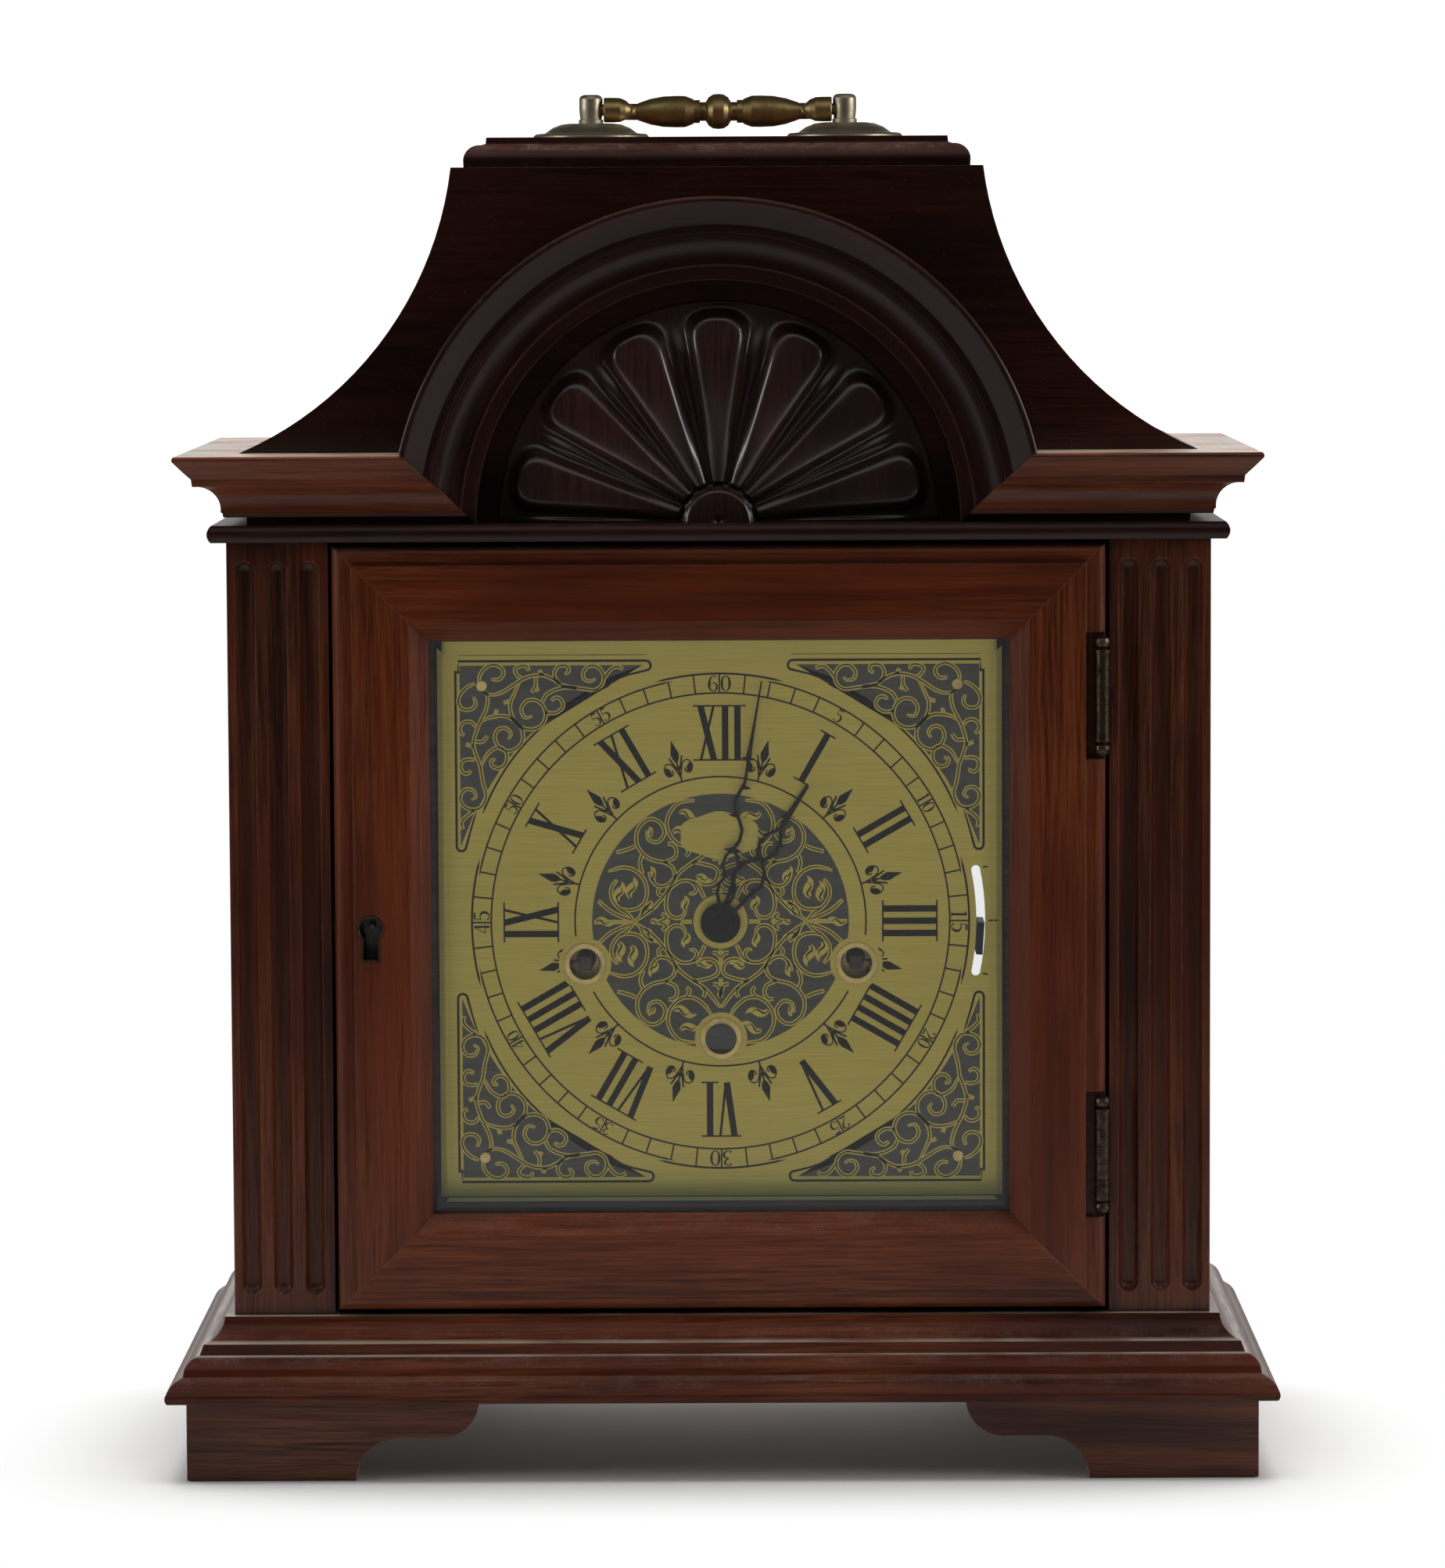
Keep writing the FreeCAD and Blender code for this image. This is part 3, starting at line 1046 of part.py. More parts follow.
def movement_frame():
    """Both plates, their pillars, the stand-offs to the dial board and the hammer arbor."""
    plates = [movement_plate(FRONT_PLATE_Y), movement_plate(BACK_PLATE_Y)]
    between = pair(PILLAR_UP_X, DIAL_Z + PILLAR_UP, INSIDE_Y, BACK_PLATE_Y, PILLAR_R)
    between += pair(PILLAR_LOW_X, DIAL_Z - PILLAR_LOW, INSIDE_Y, BACK_PLATE_Y, PILLAR_R)
    front = []
    for rise in (STANDOFF_DZ, -STANDOFF_DZ):
        front += pair(STANDOFF_X, DIAL_Z + rise, BOARD_Y + DIAL_BOARD_T, FRONT_PLATE_Y, PILLAR_R)
    return plates + between + front + motion_studs() + [axle(HAMMER_X, HAMMER_Z, INSIDE_Y, BACK_PLATE_Y, HAMMER_ARBOR_R)]


def winding_arbor(name):
    x, z = ARBORS[name]
    shaft = axle(x, z, FRONT_PLATE_Y - 1.0, MOVE_REAR + 1.5, ARBOR_R)
    half = ARBOR_SQUARE / 2
    square = box(x - half, x + half, DIAL_Y + 0.6, FRONT_PLATE_Y - 1.0, z - half, z + half)
    return [fuse([shaft, square])]


def barrel(name):
    x, z = ARBORS[name]
    wheel = toothed(GREAT_TEETH, GREAT_M, x, z, GREAT_Y, GREAT_W)
    drum = axle(x, z, DRUM_Y, DRUM_Y + BARREL_L, BARREL_R)
    lip = axle(x, z, DRUM_Y + BARREL_L - 2, DRUM_Y + BARREL_L, BARREL_R + 0.8)
    bore = axle(x, z, GREAT_Y - 1, DRUM_Y + BARREL_L + 1, ARBOR_R + RUN_FIT)
    return [fuse([wheel, drum, lip]).cut(bore)]


def idle_wheel():
    x, z = IDLE_POS
    pinion = toothed(IDLE_PINION_TEETH, GREAT_M, x, z, GREAT_Y - 0.5, GREAT_W + 1, IDLE_PHASE)
    wheel = toothed(IDLE_WHEEL_TEETH, IDLE_M, x, z, IDLE_WHEEL_Y, 1.6, IDLE_PHASE)
    shaft = axle(x, z, FRONT_PLATE_Y + 0.2, MOVE_REAR - 0.2, 1.0)
    return [fuse([pinion, wheel, shaft])]


def centre_arbor():
    """Arbor with its pinion, the cannon pinion in front of the plate and the hand's seat."""
    x, z = CENTRE
    pinion = toothed(CENTRE_PINION_TEETH, IDLE_M, x, z, IDLE_WHEEL_Y - 1, 3.6, CENTRE_PHASE)
    cannon = toothed(CANNON_TEETH, MOTION_M, x, z, CANNON_Y, 2.6, 0.0)
    shaft = axle(x, z, HAND_PLANES["minute"] - 1.0, MOVE_REAR - 0.2, CENTRE_R)
    return [fuse([pinion, cannon, shaft])]


def hand_nut():
    y = HAND_PLANES["minute"]
    return [tube(V(0, y - 1.0, DIAL_Z), V(0, y, DIAL_Z), NUT_R, CENTRE_R)
            .fuse(rod(V(0, y - 1.8, DIAL_Z), V(0, y - 1.0, DIAL_Z), NUT_R - 0.6))]


def minute_wheel():
    x, z = MOTION_POS
    phase = mesh_phase(MINUTE_WHEEL_TEETH, heading(MOTION_POS, CENTRE), 0.0, CANNON_TEETH)
    wheel = toothed(MINUTE_WHEEL_TEETH, MOTION_M, x, z, CANNON_Y + 0.4, 1.4, phase)
    pinion = toothed(MOTION_PINION_TEETH, MOTION_M2, x, z, HOUR_WHEEL_Y - 0.6, CANNON_Y - HOUR_WHEEL_Y + 1.0,
                     phase)
    return [fuse([wheel, pinion]).cut(axle(x, z, 0, 60, 1.1 + RUN_FIT))], phase


def hour_wheel():
    _, phase = minute_wheel()
    own = mesh_phase(HOUR_WHEEL_TEETH, heading(CENTRE, MOTION_POS), phase, MOTION_PINION_TEETH)
    wheel = toothed(HOUR_WHEEL_TEETH, MOTION_M2, 0.0, DIAL_Z, HOUR_WHEEL_Y, 1.4, own)
    pipe = axle(0, DIAL_Z, HAND_PLANES["hour"] - 0.5, HOUR_WHEEL_Y + 1.4, HOUR_PIPE_R)
    return [fuse([wheel, pipe]).cut(axle(0, DIAL_Z, 0, 60, HOUR_PIPE_BORE))]


def selector_lever():
    """Chime lever: a ring round a bush on the front plate, an arm and a finger through the dial."""
    y0 = FRONT_PLATE_Y - 2.2
    ring = tube(V(0, y0, DIAL_Z), V(0, y0 + 1.4, DIAL_Z), 12.0, SELECTOR_BUSH_R + RUN_FIT)
    arm = box(11.0, SLOT_R + 1.0, y0, y0 + 1.4, DIAL_Z - 1.8, DIAL_Z + 1.8)
    half = SELECTOR_TIP_L / 2
    finger = box(SLOT_R - 1.0, SLOT_R + 1.0, DIAL_Y - 1.8, y0 + 1.4, DIAL_Z - half, DIAL_Z + half)
    lever = fuse([ring, arm, finger])
    lever.rotate(V(0, 0, DIAL_Z), Y, SELECTOR_ANGLE)
    return [lever]


SELECTOR_BUSH_R = 8.9
SELECTOR_ANGLE = 3.9
SELECTOR_TIP_L = 10.2


def motion_studs():
    """The bush that carries the selector ring and the stud that carries the minute wheel."""
    bush = tube(V(0, FRONT_PLATE_Y - 2.6, DIAL_Z), V(0, FRONT_PLATE_Y, DIAL_Z), SELECTOR_BUSH_R, 5.5)
    x, z = MOTION_POS
    stud = axle(x, z, HOUR_WHEEL_Y - 1.6, FRONT_PLATE_Y, 1.1)
    return [bush, stud]


def chime_drum():
    """A shaft, a pinion in the chime great wheel and one star cam for each hammer."""
    x, z = DRUM_POS
    phase = mesh_phase(DRUM_TEETH, heading(DRUM_POS, ARBORS["chime"]), 0.0, GREAT_TEETH)
    parts = [axle(x, z, FRONT_PLATE_Y + 0.2, MOVE_REAR - 0.2, 1.5),
             toothed(DRUM_TEETH, GREAT_M, x, z, GREAT_Y - 0.5, GREAT_W + 1, phase)]
    for n, y in enumerate(HAMMER_Y):
        points = []
        for k in range(2 * CAM_LOBES):
            angle = math.radians(180 / CAM_LOBES * k + CAM_LEAD * n)
            radius = DRUM_R if k % 2 == 0 else DRUM_R * 0.66
            points.append(V(x + radius * math.cos(angle), y - 1.0, z + radius * math.sin(angle)))
        parts.append(prism(points, V(0, 2.0, 0)))
    return [fuse(parts)]


def hammer(n):
    """Hub on the hammer arbor, a tail towards the drum, an arm and a head over its rod."""
    y = HAMMER_Y[n]
    hub = tube(V(HAMMER_X, y - 2.2, HAMMER_Z), V(HAMMER_X, y + 2.2, HAMMER_Z), 3.0, HAMMER_ARBOR_R + RUN_FIT)
    head = V(HAMMER_X + HAMMER_DX, y, HAMMER_Z - HAMMER_DZ)
    toward = head - V(HAMMER_X, y, HAMMER_Z)
    length = toward.Length
    half = HAMMER_ARM_W / 2
    arm = box(2.6, length, -half, half, -half, half)
    arm.rotate(V(0, 0, 0), Y, -math.degrees(math.atan2(toward.z, toward.x)))
    tail = box(-HAMMER_TAIL, -2.6, -half, half, -half, half)
    tail.rotate(V(0, 0, 0), Y, 12)
    for piece in (arm, tail):
        piece.translate(V(HAMMER_X, y, HAMMER_Z))
    drop = Z * (HAMMER_HEAD_H / 2)
    return [fuse([hub, arm, tail, rod(head - drop, head + drop, HAMMER_HEAD_R)])]


def gong_block():
    y0, y1 = HAMMER_Y[0] - 8, HAMMER_Y[-1] + 8
    return [box(GONG_X, GONG_X + GONG_W, y0, y1, BASE_TOP, ROD_TOP + GONG_OVER)]


GONG_X = HAMMER_X + HAMMER_DX + 18.0


def chime_rods():
    z = ROD_TOP - ROD_R
    return [rod(V(GONG_X - ROD_LONGEST + n * ROD_STEP, y, z), V(GONG_X, y, z), ROD_R)
            for n, y in enumerate(HAMMER_Y)]


def platform():
    """Escapement platform on the back plate: base, two cock feet and the balance cock."""
    y0 = MOVE_REAR
    base = box(-16, 16, y0, y0 + 2.0, BALANCE_Z - 13, BALANCE_Z + 13)
    feet = [box(sx * 13 - 2, sx * 13 + 2, y0 + 2.0, y0 + 8.0, BALANCE_Z - 2.5, BALANCE_Z + 2.5) for sx in (-1, 1)]
    cock = box(-15, 15, y0 + 8.0, y0 + 9.6, BALANCE_Z - 2.5, BALANCE_Z + 2.5)
    whole = fuse([base, cock] + feet)
    return [whole.cut(axle(0, BALANCE_Z, y0 + 1.0, y0 + 9.0, 0.6 + RUN_FIT))]


def balance_wheel():
    y0 = MOVE_REAR + 4.2
    rim = tube(V(0, y0, BALANCE_Z), V(0, y0 + 1.4, BALANCE_Z), BALANCE_R, BALANCE_R - 1.3)
    spoke = box(-BALANCE_R + 1, BALANCE_R - 1, y0, y0 + 1.0, BALANCE_Z - 0.7, BALANCE_Z + 0.7)
    staff = axle(0, BALANCE_Z, MOVE_REAR + 1.3, MOVE_REAR + 8.7, 0.6)
    return [fuse([rim, spoke, staff])]


# ---------------------------------------------------------------- the whole clock
def build():
    """Every node with its solids."""
    minute_pair, _ = minute_wheel()
    feet = foot(False) + foot(True)
    nodes = {
        "base_moulding": base_moulding(),
        "base_board": base_board(),
        "feet": feet + [mirrored(s) for s in feet],
        "side_panels": [side_panel(), mirrored(side_panel())],
        "pilasters": [pilaster(), left_pilaster()],
        "necking_board": necking_board(),
        "cornice_moulding": cornice_moulding(),
        "arch_moulding": arch_moulding(),
        "hood_boards": [hood_board(HOOD_FACE_Y), hood_board(CASE_D - HOOD_BOARD_T)],
        "hood_shell": [hood_side(), mirrored(hood_side())] + hood_top(),
        "top_cap": top_cap(),
        "shell_panel": shell_panel(),
        "shell_carving": shell_carving(),
        "handle_mounts": [piece(sign) for piece in (handle_plate, handle_post) for sign in (1, -1)],
        "handle_bail": handle_bail(),
        "door_glass": bevelled_glass(),
        "door_glass_beads": glass_beads(),
        "keyhole_liner": keyhole_liner(),
        "lock_case": lock_case(),
        "lock_bolt": lock_bolt(),
        "strike_plate": strike_plate(),
        "door_hinge_leaves": [hinge_leaf(z, True) for z in HINGE_Z],
        "case_hinges": [hinge_leaf(z, False) for z in HINGE_Z],
        "rear_door_frame": list(rear_frame()) + rear_glass_beads(),
        "rear_glass": rear_glass(),
        "rear_knob": rear_knob(),
        "rear_case_hinges": [rear_hinge(z, False) for z in REAR_HINGE_Z],
        "rear_door_hinges": [rear_hinge(z, True) for z in REAR_HINGE_Z],
        "dial_board": dial_board(),
        "dial_plate": dial_plate(),
        "dial_fittings": dial_screws() + grommets(),
        "minute_hand": minute_hand() + hand_nut(),
        "hour_hand": hour_hand(),
        "centre_arbor": centre_arbor(),
        "minute_wheel": minute_pair,
        "hour_wheel": hour_wheel(),
        "idle_wheel": idle_wheel(),
        "movement_frame": movement_frame(),
        "selector_lever": selector_lever(),
        "chime_drum": chime_drum(),
        "gong_block": gong_block(),
        "chime_rods": chime_rods(),
        "platform": platform(),
        "balance_wheel": balance_wheel(),
    }
    right_stile, left_stile, top_rail, bottom_rail = front_door_frame()
    nodes["door_stiles"] = [right_stile, left_stile]
    nodes["door_rails"] = [top_rail, bottom_rail]
    for name in ARBORS:
        nodes["winding_arbor_" + name] = winding_arbor(name)
        nodes["barrel_" + name] = barrel(name)
    for n in range(HAMMERS):
        nodes["hammer_%d" % (n + 1)] = hammer(n)
    return nodes


def main():
    os.makedirs("parts", exist_ok=True)
    for name, solids in build().items():
        shape = Part.makeCompound(solids) if len(solids) > 1 else solids[0]
        shape.translate(PLAN_SHIFT)
        shape.exportStep("parts/%s.step" % name)


main()
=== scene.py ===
"""Bracket clock: wood, metal and glass finishes, the dial's printing and the studio.

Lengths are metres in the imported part's frame: +X to the right as seen from the front, +Y to the back and
+Z up. The dial's own drawing is in millimetres from the dial's centre, across and up.
"""
from __future__ import annotations

import logging
import math
from dataclasses import dataclass, field
from enum import Enum
from typing import Callable, Iterable, Protocol, Sequence

import bmesh
import bpy
from mathutils import Matrix, Vector

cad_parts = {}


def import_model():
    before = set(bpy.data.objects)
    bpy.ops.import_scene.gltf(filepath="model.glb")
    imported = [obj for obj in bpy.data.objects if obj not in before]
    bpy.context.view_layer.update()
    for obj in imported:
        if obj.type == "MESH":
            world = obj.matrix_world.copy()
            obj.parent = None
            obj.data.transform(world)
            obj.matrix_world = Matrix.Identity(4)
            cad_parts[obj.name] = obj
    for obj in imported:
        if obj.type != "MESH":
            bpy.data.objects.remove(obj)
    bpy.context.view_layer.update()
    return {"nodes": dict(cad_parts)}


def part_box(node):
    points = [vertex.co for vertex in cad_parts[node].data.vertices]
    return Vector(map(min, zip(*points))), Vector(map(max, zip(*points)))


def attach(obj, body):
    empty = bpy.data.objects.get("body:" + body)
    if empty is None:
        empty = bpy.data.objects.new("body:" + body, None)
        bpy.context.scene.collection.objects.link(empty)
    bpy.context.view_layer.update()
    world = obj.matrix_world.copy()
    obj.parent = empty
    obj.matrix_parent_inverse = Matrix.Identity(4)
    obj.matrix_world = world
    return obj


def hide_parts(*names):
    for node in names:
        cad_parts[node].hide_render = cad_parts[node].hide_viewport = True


LOG = logging.getLogger("bracket_clock")
MM = 0.001

Colour = tuple[float, float, float]
Point = tuple[float, float]
Socket = bpy.types.NodeSocket


# ---------------------------------------------------------------- places that the finishes follow
@dataclass(frozen=True)
class CasePlan:
    """Places in the case that grain directions and mitres follow, in metres."""

    half_width: float = 0.1536
    front_y: float = -0.074625
    back_y: float = 0.086375
    foot_edge: float = 0.16805
    springing_z: float = 0.2994
    rear_half: float = 0.1430
    rear_low: float = 0.0509
    rear_high: float = 0.2934


PLAN = CasePlan()


class Grain(Enum):
    """Which way the grain of a wooden piece runs."""

    UPRIGHT = "upright"
    ACROSS = "across"
    DEPTH = "depth"
    MITRED = "front across, returns in depth"
    BRACKET = "bracket foot, mitred at its corner"
    ARCHED = "round the arch"
    FRAMED = "rear door frame, mitred"


# ---------------------------------------------------------------- wiring
class Graph:
    """Short calls for the shader nodes that this scene wires together."""

    def __init__(self, tree: bpy.types.NodeTree) -> None:
        """Keeps the tree that is being wired."""
        self.tree = tree

    def feed(self, socket: Socket, value: object) -> None:
        """Links a socket, or sets a plain value.

        Args:
            socket: The input that receives the value.
            value: Another node's output, a number, or a colour or vector.
        """
        if isinstance(value, bpy.types.NodeSocket):
            self.tree.links.new(value, socket)
        elif isinstance(value, (tuple, list)) and socket.type == "RGBA":
            socket.default_value = (*value[:3], 1.0)
        else:
            socket.default_value = value

    def add(self, kind: str, inputs: dict[object, object] | None = None,
            **settings: object) -> bpy.types.Node:
        """Adds a node.

        Args:
            kind: The node's type name.
            inputs: Values or links by input name or number.
            settings: Attributes set on the node.

        Returns:
            The new node.
        """
        node = self.tree.nodes.new(kind)
        for name, value in settings.items():
            setattr(node, name, value)
        for key, value in (inputs or {}).items():
            self.feed(node.inputs[key], value)
        return node

    def math(self, operation: str, a: object, b: object = 0.0, clamp: bool = False) -> Socket:
        """Adds a Math node and returns its value."""
        return self.add("ShaderNodeMath", {0: a, 1: b}, operation=operation, use_clamp=clamp).outputs[0]

    def times(self, a: object, b: object) -> Socket:
        """Multiplies two values."""
        return self.math("MULTIPLY", a, b)

    def plus(self, a: object, b: object, clamp: bool = False) -> Socket:
        """Adds two values."""
        return self.math("ADD", a, b, clamp)

    def minus(self, a: object, b: object) -> Socket:
        """Takes the second value from the first."""
        return self.math("SUBTRACT", a, b)

    def mix(self, share: object, a: object, b: object, blend: str = "MIX") -> Socket:
        """Mixes two colours and returns the result."""
        node = self.add("ShaderNodeMix", {0: share, 6: a, 7: b}, data_type="RGBA", blend_type=blend)
        return node.outputs[2]

    def mix_value(self, share: object, a: object, b: object) -> Socket:
        """Mixes two values and returns the result."""
        return self.add("ShaderNodeMix", {0: share, 2: a, 3: b}, data_type="FLOAT").outputs[0]

    def spread(self, value: object, low: float, high: float, out_low: float = 0.0,
               out_high: float = 1.0) -> Socket:
        """Maps a range smoothly on to another one and clamps it."""
        node = self.add("ShaderNodeMapRange", {0: value, 1: low, 2: high, 3: out_low, 4: out_high},
                        interpolation_type="SMOOTHSTEP")
        return node.outputs[0]

    def scaled(self, vector: object, factors: tuple[float, float, float]) -> Socket:
        """Multiplies a vector by three factors."""
        return self.add("ShaderNodeVectorMath", {0: vector, 1: factors}, operation="MULTIPLY").outputs[0]

    def noise(self, vector: object, scale: float = 1.0, detail: float = 2.0, rough: float = 0.5) -> Socket:
        """Adds a Noise Texture and returns its value."""
        node = self.add("ShaderNodeTexNoise", {"Vector": vector, "Scale": scale, "Detail": detail,
                                               "Roughness": rough})
        return node.outputs[0]

    def axes(self, vector: object) -> tuple[Socket, Socket, Socket]:
        """Splits a vector into its three parts."""
        node = self.add("ShaderNodeSeparateXYZ", {0: vector})
        return node.outputs[0], node.outputs[1], node.outputs[2]

    def join(self, x: object, y: object, z: object) -> Socket:
        """Makes a vector of three parts."""
        return self.add("ShaderNodeCombineXYZ", {0: x, 1: y, 2: z}).outputs[0]

    def choose(self, switch: object, off: object, on: object) -> Socket:
        """Picks one of two vectors by a mask of 0 or 1."""
        node = self.add("ShaderNodeMix", {0: switch, 4: off, 5: on}, data_type="VECTOR")
        return node.outputs[1]

    def place(self) -> Socket:
        """The point on the piece, in the part's frame."""
        return self.add("ShaderNodeTexCoord").outputs["Object"]

    def bump(self, height: object, strength: float, distance: float, normal: object | None = None) -> Socket:
        """Adds a Bump node and returns its normal."""
        inputs: dict[object, object] = {"Height": height, "Strength": strength, "Distance": distance}
        if normal is not None:
            inputs["Normal"] = normal
        return self.add("ShaderNodeBump", inputs).outputs[0]


Sockets = dict[str, tuple[str, float]]


def effect(name: str, inputs: Sockets, outputs: Sequence[tuple[str, str]],
           wire: Callable[[Graph, bpy.types.Node], dict[str, Socket]]) -> bpy.types.NodeTree:
    """Builds a shader node group once, and gives it back when it's asked for again.

    Args:
        name: The group's name.
        inputs: Socket type and starting value by input name.
        outputs: Name and socket type of each output.
        wire: Wires the group and returns the socket for each output.

    Returns:
        The group's node tree.
    """
    made = bpy.data.node_groups.get(name)
    if made is not None:
        return made
    tree = bpy.data.node_groups.new(name, "ShaderNodeTree")
    for label, (kind, value) in inputs.items():
        socket = tree.interface.new_socket(name=label, in_out="INPUT", socket_type=kind)
        if kind == "NodeSocketFloat":
            socket.default_value = value
    for label, kind in outputs:
        tree.interface.new_socket(name=label, in_out="OUTPUT", socket_type=kind)
    graph = Graph(tree)
    entry = tree.nodes.new("NodeGroupInput")
    leave = tree.nodes.new("NodeGroupOutput")
    for label, socket in wire(graph, entry).items():
        tree.links.new(socket, leave.inputs[label])
    return tree


FLOAT = "NodeSocketFloat"
VECTOR = "NodeSocketVector"


def wood_figure() -> bpy.types.NodeTree:
    """Mahogany's figure: broad ribbons, fibre, open pores and clouding, along the place's second axis."""

    def wire(g: Graph, entry: bpy.types.Node) -> dict[str, Socket]:
        """Wires the group."""
        place = entry.outputs["Place"]
        drift = g.noise(g.scaled(place, (14.0, 3.0, 14.0)), detail=1.0)
        across, along, deep = g.axes(place)
        shift = g.times(g.minus(drift, 0.5), 0.016)
        bent = g.join(g.plus(across, shift), along, g.plus(deep, shift))
        ribbon = g.noise(g.scaled(bent, (120.0, 5.0, 120.0)), detail=3.0, rough=0.55)
        fibre = g.noise(g.scaled(bent, (1100.0, 34.0, 1100.0)), detail=3.0, rough=0.65)
        pores = g.noise(g.scaled(bent, (2300.0, 95.0, 2300.0)), detail=2.0, rough=0.6)
        cloud = g.noise(g.scaled(place, (16.0, 9.0, 16.0)), detail=2.0)
        return {"Ribbon": g.spread(ribbon, 0.30, 0.70), "Fibre": g.spread(fibre, 0.28, 0.72),
                "Pores": g.spread(pores, 0.60, 0.74), "Cloud": g.spread(cloud, 0.25, 0.75)}

    return effect("Wood figure", {"Place": (VECTOR, 0.0)},
                  [(label, FLOAT) for label in ("Ribbon", "Fibre", "Pores", "Cloud")], wire)


def worn_edge() -> bpy.types.NodeTree:
    """Rubbed edges: a mask along outer edges, and a normal that rounds them softly."""

    def wire(g: Graph, entry: bpy.types.Node) -> dict[str, Socket]:
        """Wires the group."""
        soft = g.add("ShaderNodeBevel", {"Radius": entry.outputs["Width"]}, samples=4).outputs[0]
        flat = g.add("ShaderNodeNewGeometry").outputs["Normal"]
        turn = g.add("ShaderNodeVectorMath", {0: soft, 1: flat}, operation="DOT_PRODUCT").outputs["Value"]
        ridge = g.add("ShaderNodeNewGeometry").outputs["Pointiness"]
        edge = g.spread(g.minus(1.0, turn), 0.02, 0.22)
        raised = g.spread(ridge, 0.46, 0.54)
        patchy = g.noise(entry.outputs["Place"], scale=240.0, detail=3.0, rough=0.7)
        rubbed = g.times(edge, g.spread(patchy, 0.35, 0.65, 0.25, 1.0))
        return {"Edge": g.times(rubbed, raised), "Normal": soft}

    return effect("Worn edge", {"Place": (VECTOR, 0.0), "Width": (FLOAT, 0.0006)},
                  [("Edge", FLOAT), ("Normal", VECTOR)], wire)


def settled_dirt() -> bpy.types.NodeTree:
    """A mask of hollows by ambient occlusion, used as painted shade on wood and as tarnish on metal, and pale
    dust on ledges and in corners.
    """

    def wire(g: Graph, entry: bpy.types.Node) -> dict[str, Socket]:
        """Wires the group."""
        open_sky = g.add("ShaderNodeAmbientOcclusion", {"Distance": entry.outputs["Reach"]},
                         samples=6, only_local=False).outputs["AO"]
        hollow = g.minus(1.0, open_sky)
        upward = g.axes(g.add("ShaderNodeNewGeometry").outputs["Normal"])[2]
        patchy = g.noise(entry.outputs["Place"], scale=90.0, detail=4.0, rough=0.75)
        specks = g.noise(entry.outputs["Place"], scale=1500.0, detail=2.0, rough=0.6)
        ledge = g.times(g.spread(upward, 0.25, 0.95), g.spread(patchy, 0.40, 0.70))
        corner = g.times(g.spread(hollow, 0.35, 0.75), g.spread(patchy, 0.45, 0.62))
        lying = g.math("MAXIMUM", ledge, g.times(corner, 0.8))
        grains = g.spread(specks, 0.40, 0.66, 0.15, 1.0)
        drift = g.spread(g.noise(entry.outputs["Place"], scale=35.0, detail=3.0), 0.30, 0.62, 0.35, 1.0)
        return {"Hollow": g.spread(hollow, 0.15, 0.75), "Dust": g.times(lying, grains),
                "Specks": g.spread(specks, 0.70, 0.76),
                "Ledge": g.times(g.spread(upward, 0.86, 0.97), drift)}

    return effect("Dirt and hollow shade", {"Place": (VECTOR, 0.0), "Reach": (FLOAT, 0.006)},
                  [("Hollow", FLOAT), ("Dust", FLOAT), ("Specks", FLOAT), ("Ledge", FLOAT)], wire)


def fine_lines() -> bpy.types.NodeTree:
    """Brushed lines along the place's second axis, with a few deeper scratches."""

    def wire(g: Graph, entry: bpy.types.Node) -> dict[str, Socket]:
        """Wires the group."""
        place = entry.outputs["Place"]
        brushed = g.noise(g.scaled(place, (3400.0, 45.0, 3400.0)), detail=2.0, rough=0.7)
        broad = g.noise(g.scaled(place, (420.0, 9.0, 420.0)), detail=2.0)
        scratch = g.noise(g.scaled(place, (900.0, 30.0, 900.0)), detail=1.0)
        return {"Lines": brushed, "Bands": broad, "Scratches": g.spread(scratch, 0.66, 0.70)}

    return effect("Fine lines", {"Place": (VECTOR, 0.0)},
                  [("Lines", FLOAT), ("Bands", FLOAT), ("Scratches", FLOAT)], wire)


def grain_place(g: Graph, grain: Grain) -> Socket:
    """Coordinates whose second axis runs along the grain.

    Args:
        g: The material's graph.
        grain: Which way the piece's grain runs.

    Returns:
        A vector of the place across, along and into the board, in metres.
    """
    x, y, z = g.axes(g.place())
    upright = g.join(x, z, y)
    lying = g.join(g.plus(z, 0.7), x, y)
    deep = g.join(g.plus(z, 1.9), y, x)
    wide = g.math("ABSOLUTE", x)
    if grain is Grain.UPRIGHT:
        return upright
    if grain is Grain.ACROSS:
        return lying
    if grain is Grain.DEPTH:
        return deep
    if grain is Grain.ARCHED:
        rise = g.minus(z, PLAN.springing_z)
        turn = g.times(g.math("ARCTAN2", x, rise), 0.09)
        reach = g.add("ShaderNodeVectorMath", {0: g.join(x, rise, 0.0)}, operation="LENGTH").outputs["Value"]
        return g.join(reach, turn, y)
    if grain is Grain.FRAMED:
        side = g.minus(PLAN.rear_half, wide)
        end = g.math("MINIMUM", g.minus(z, PLAN.rear_low), g.minus(PLAN.rear_high, z))
        return g.choose(g.math("LESS_THAN", side, end), lying, upright)
    front = g.math("GREATER_THAN", g.plus(wide, y), PLAN.half_width + PLAN.front_y)
    if grain is Grain.MITRED:
        return g.choose(front, lying, deep)
    rear = g.math("GREATER_THAN", g.minus(wide, y), PLAN.foot_edge - PLAN.back_y)
    return g.choose(g.times(front, rear), lying, deep)


def new_material(name: str) -> tuple[bpy.types.Material, Graph, bpy.types.Node]:
    """A material with an empty Principled shader.

    Args:
        name: The material's name.

    Returns:
        The material, its graph and its Principled node.
    """
    material = bpy.data.materials.new(name)
    material.use_nodes = True
    material.node_tree.nodes.clear()
    graph = Graph(material.node_tree)
    shader = graph.add("ShaderNodeBsdfPrincipled")
    graph.add("ShaderNodeOutputMaterial", {"Surface": shader.outputs[0]})
    return material, graph, shader


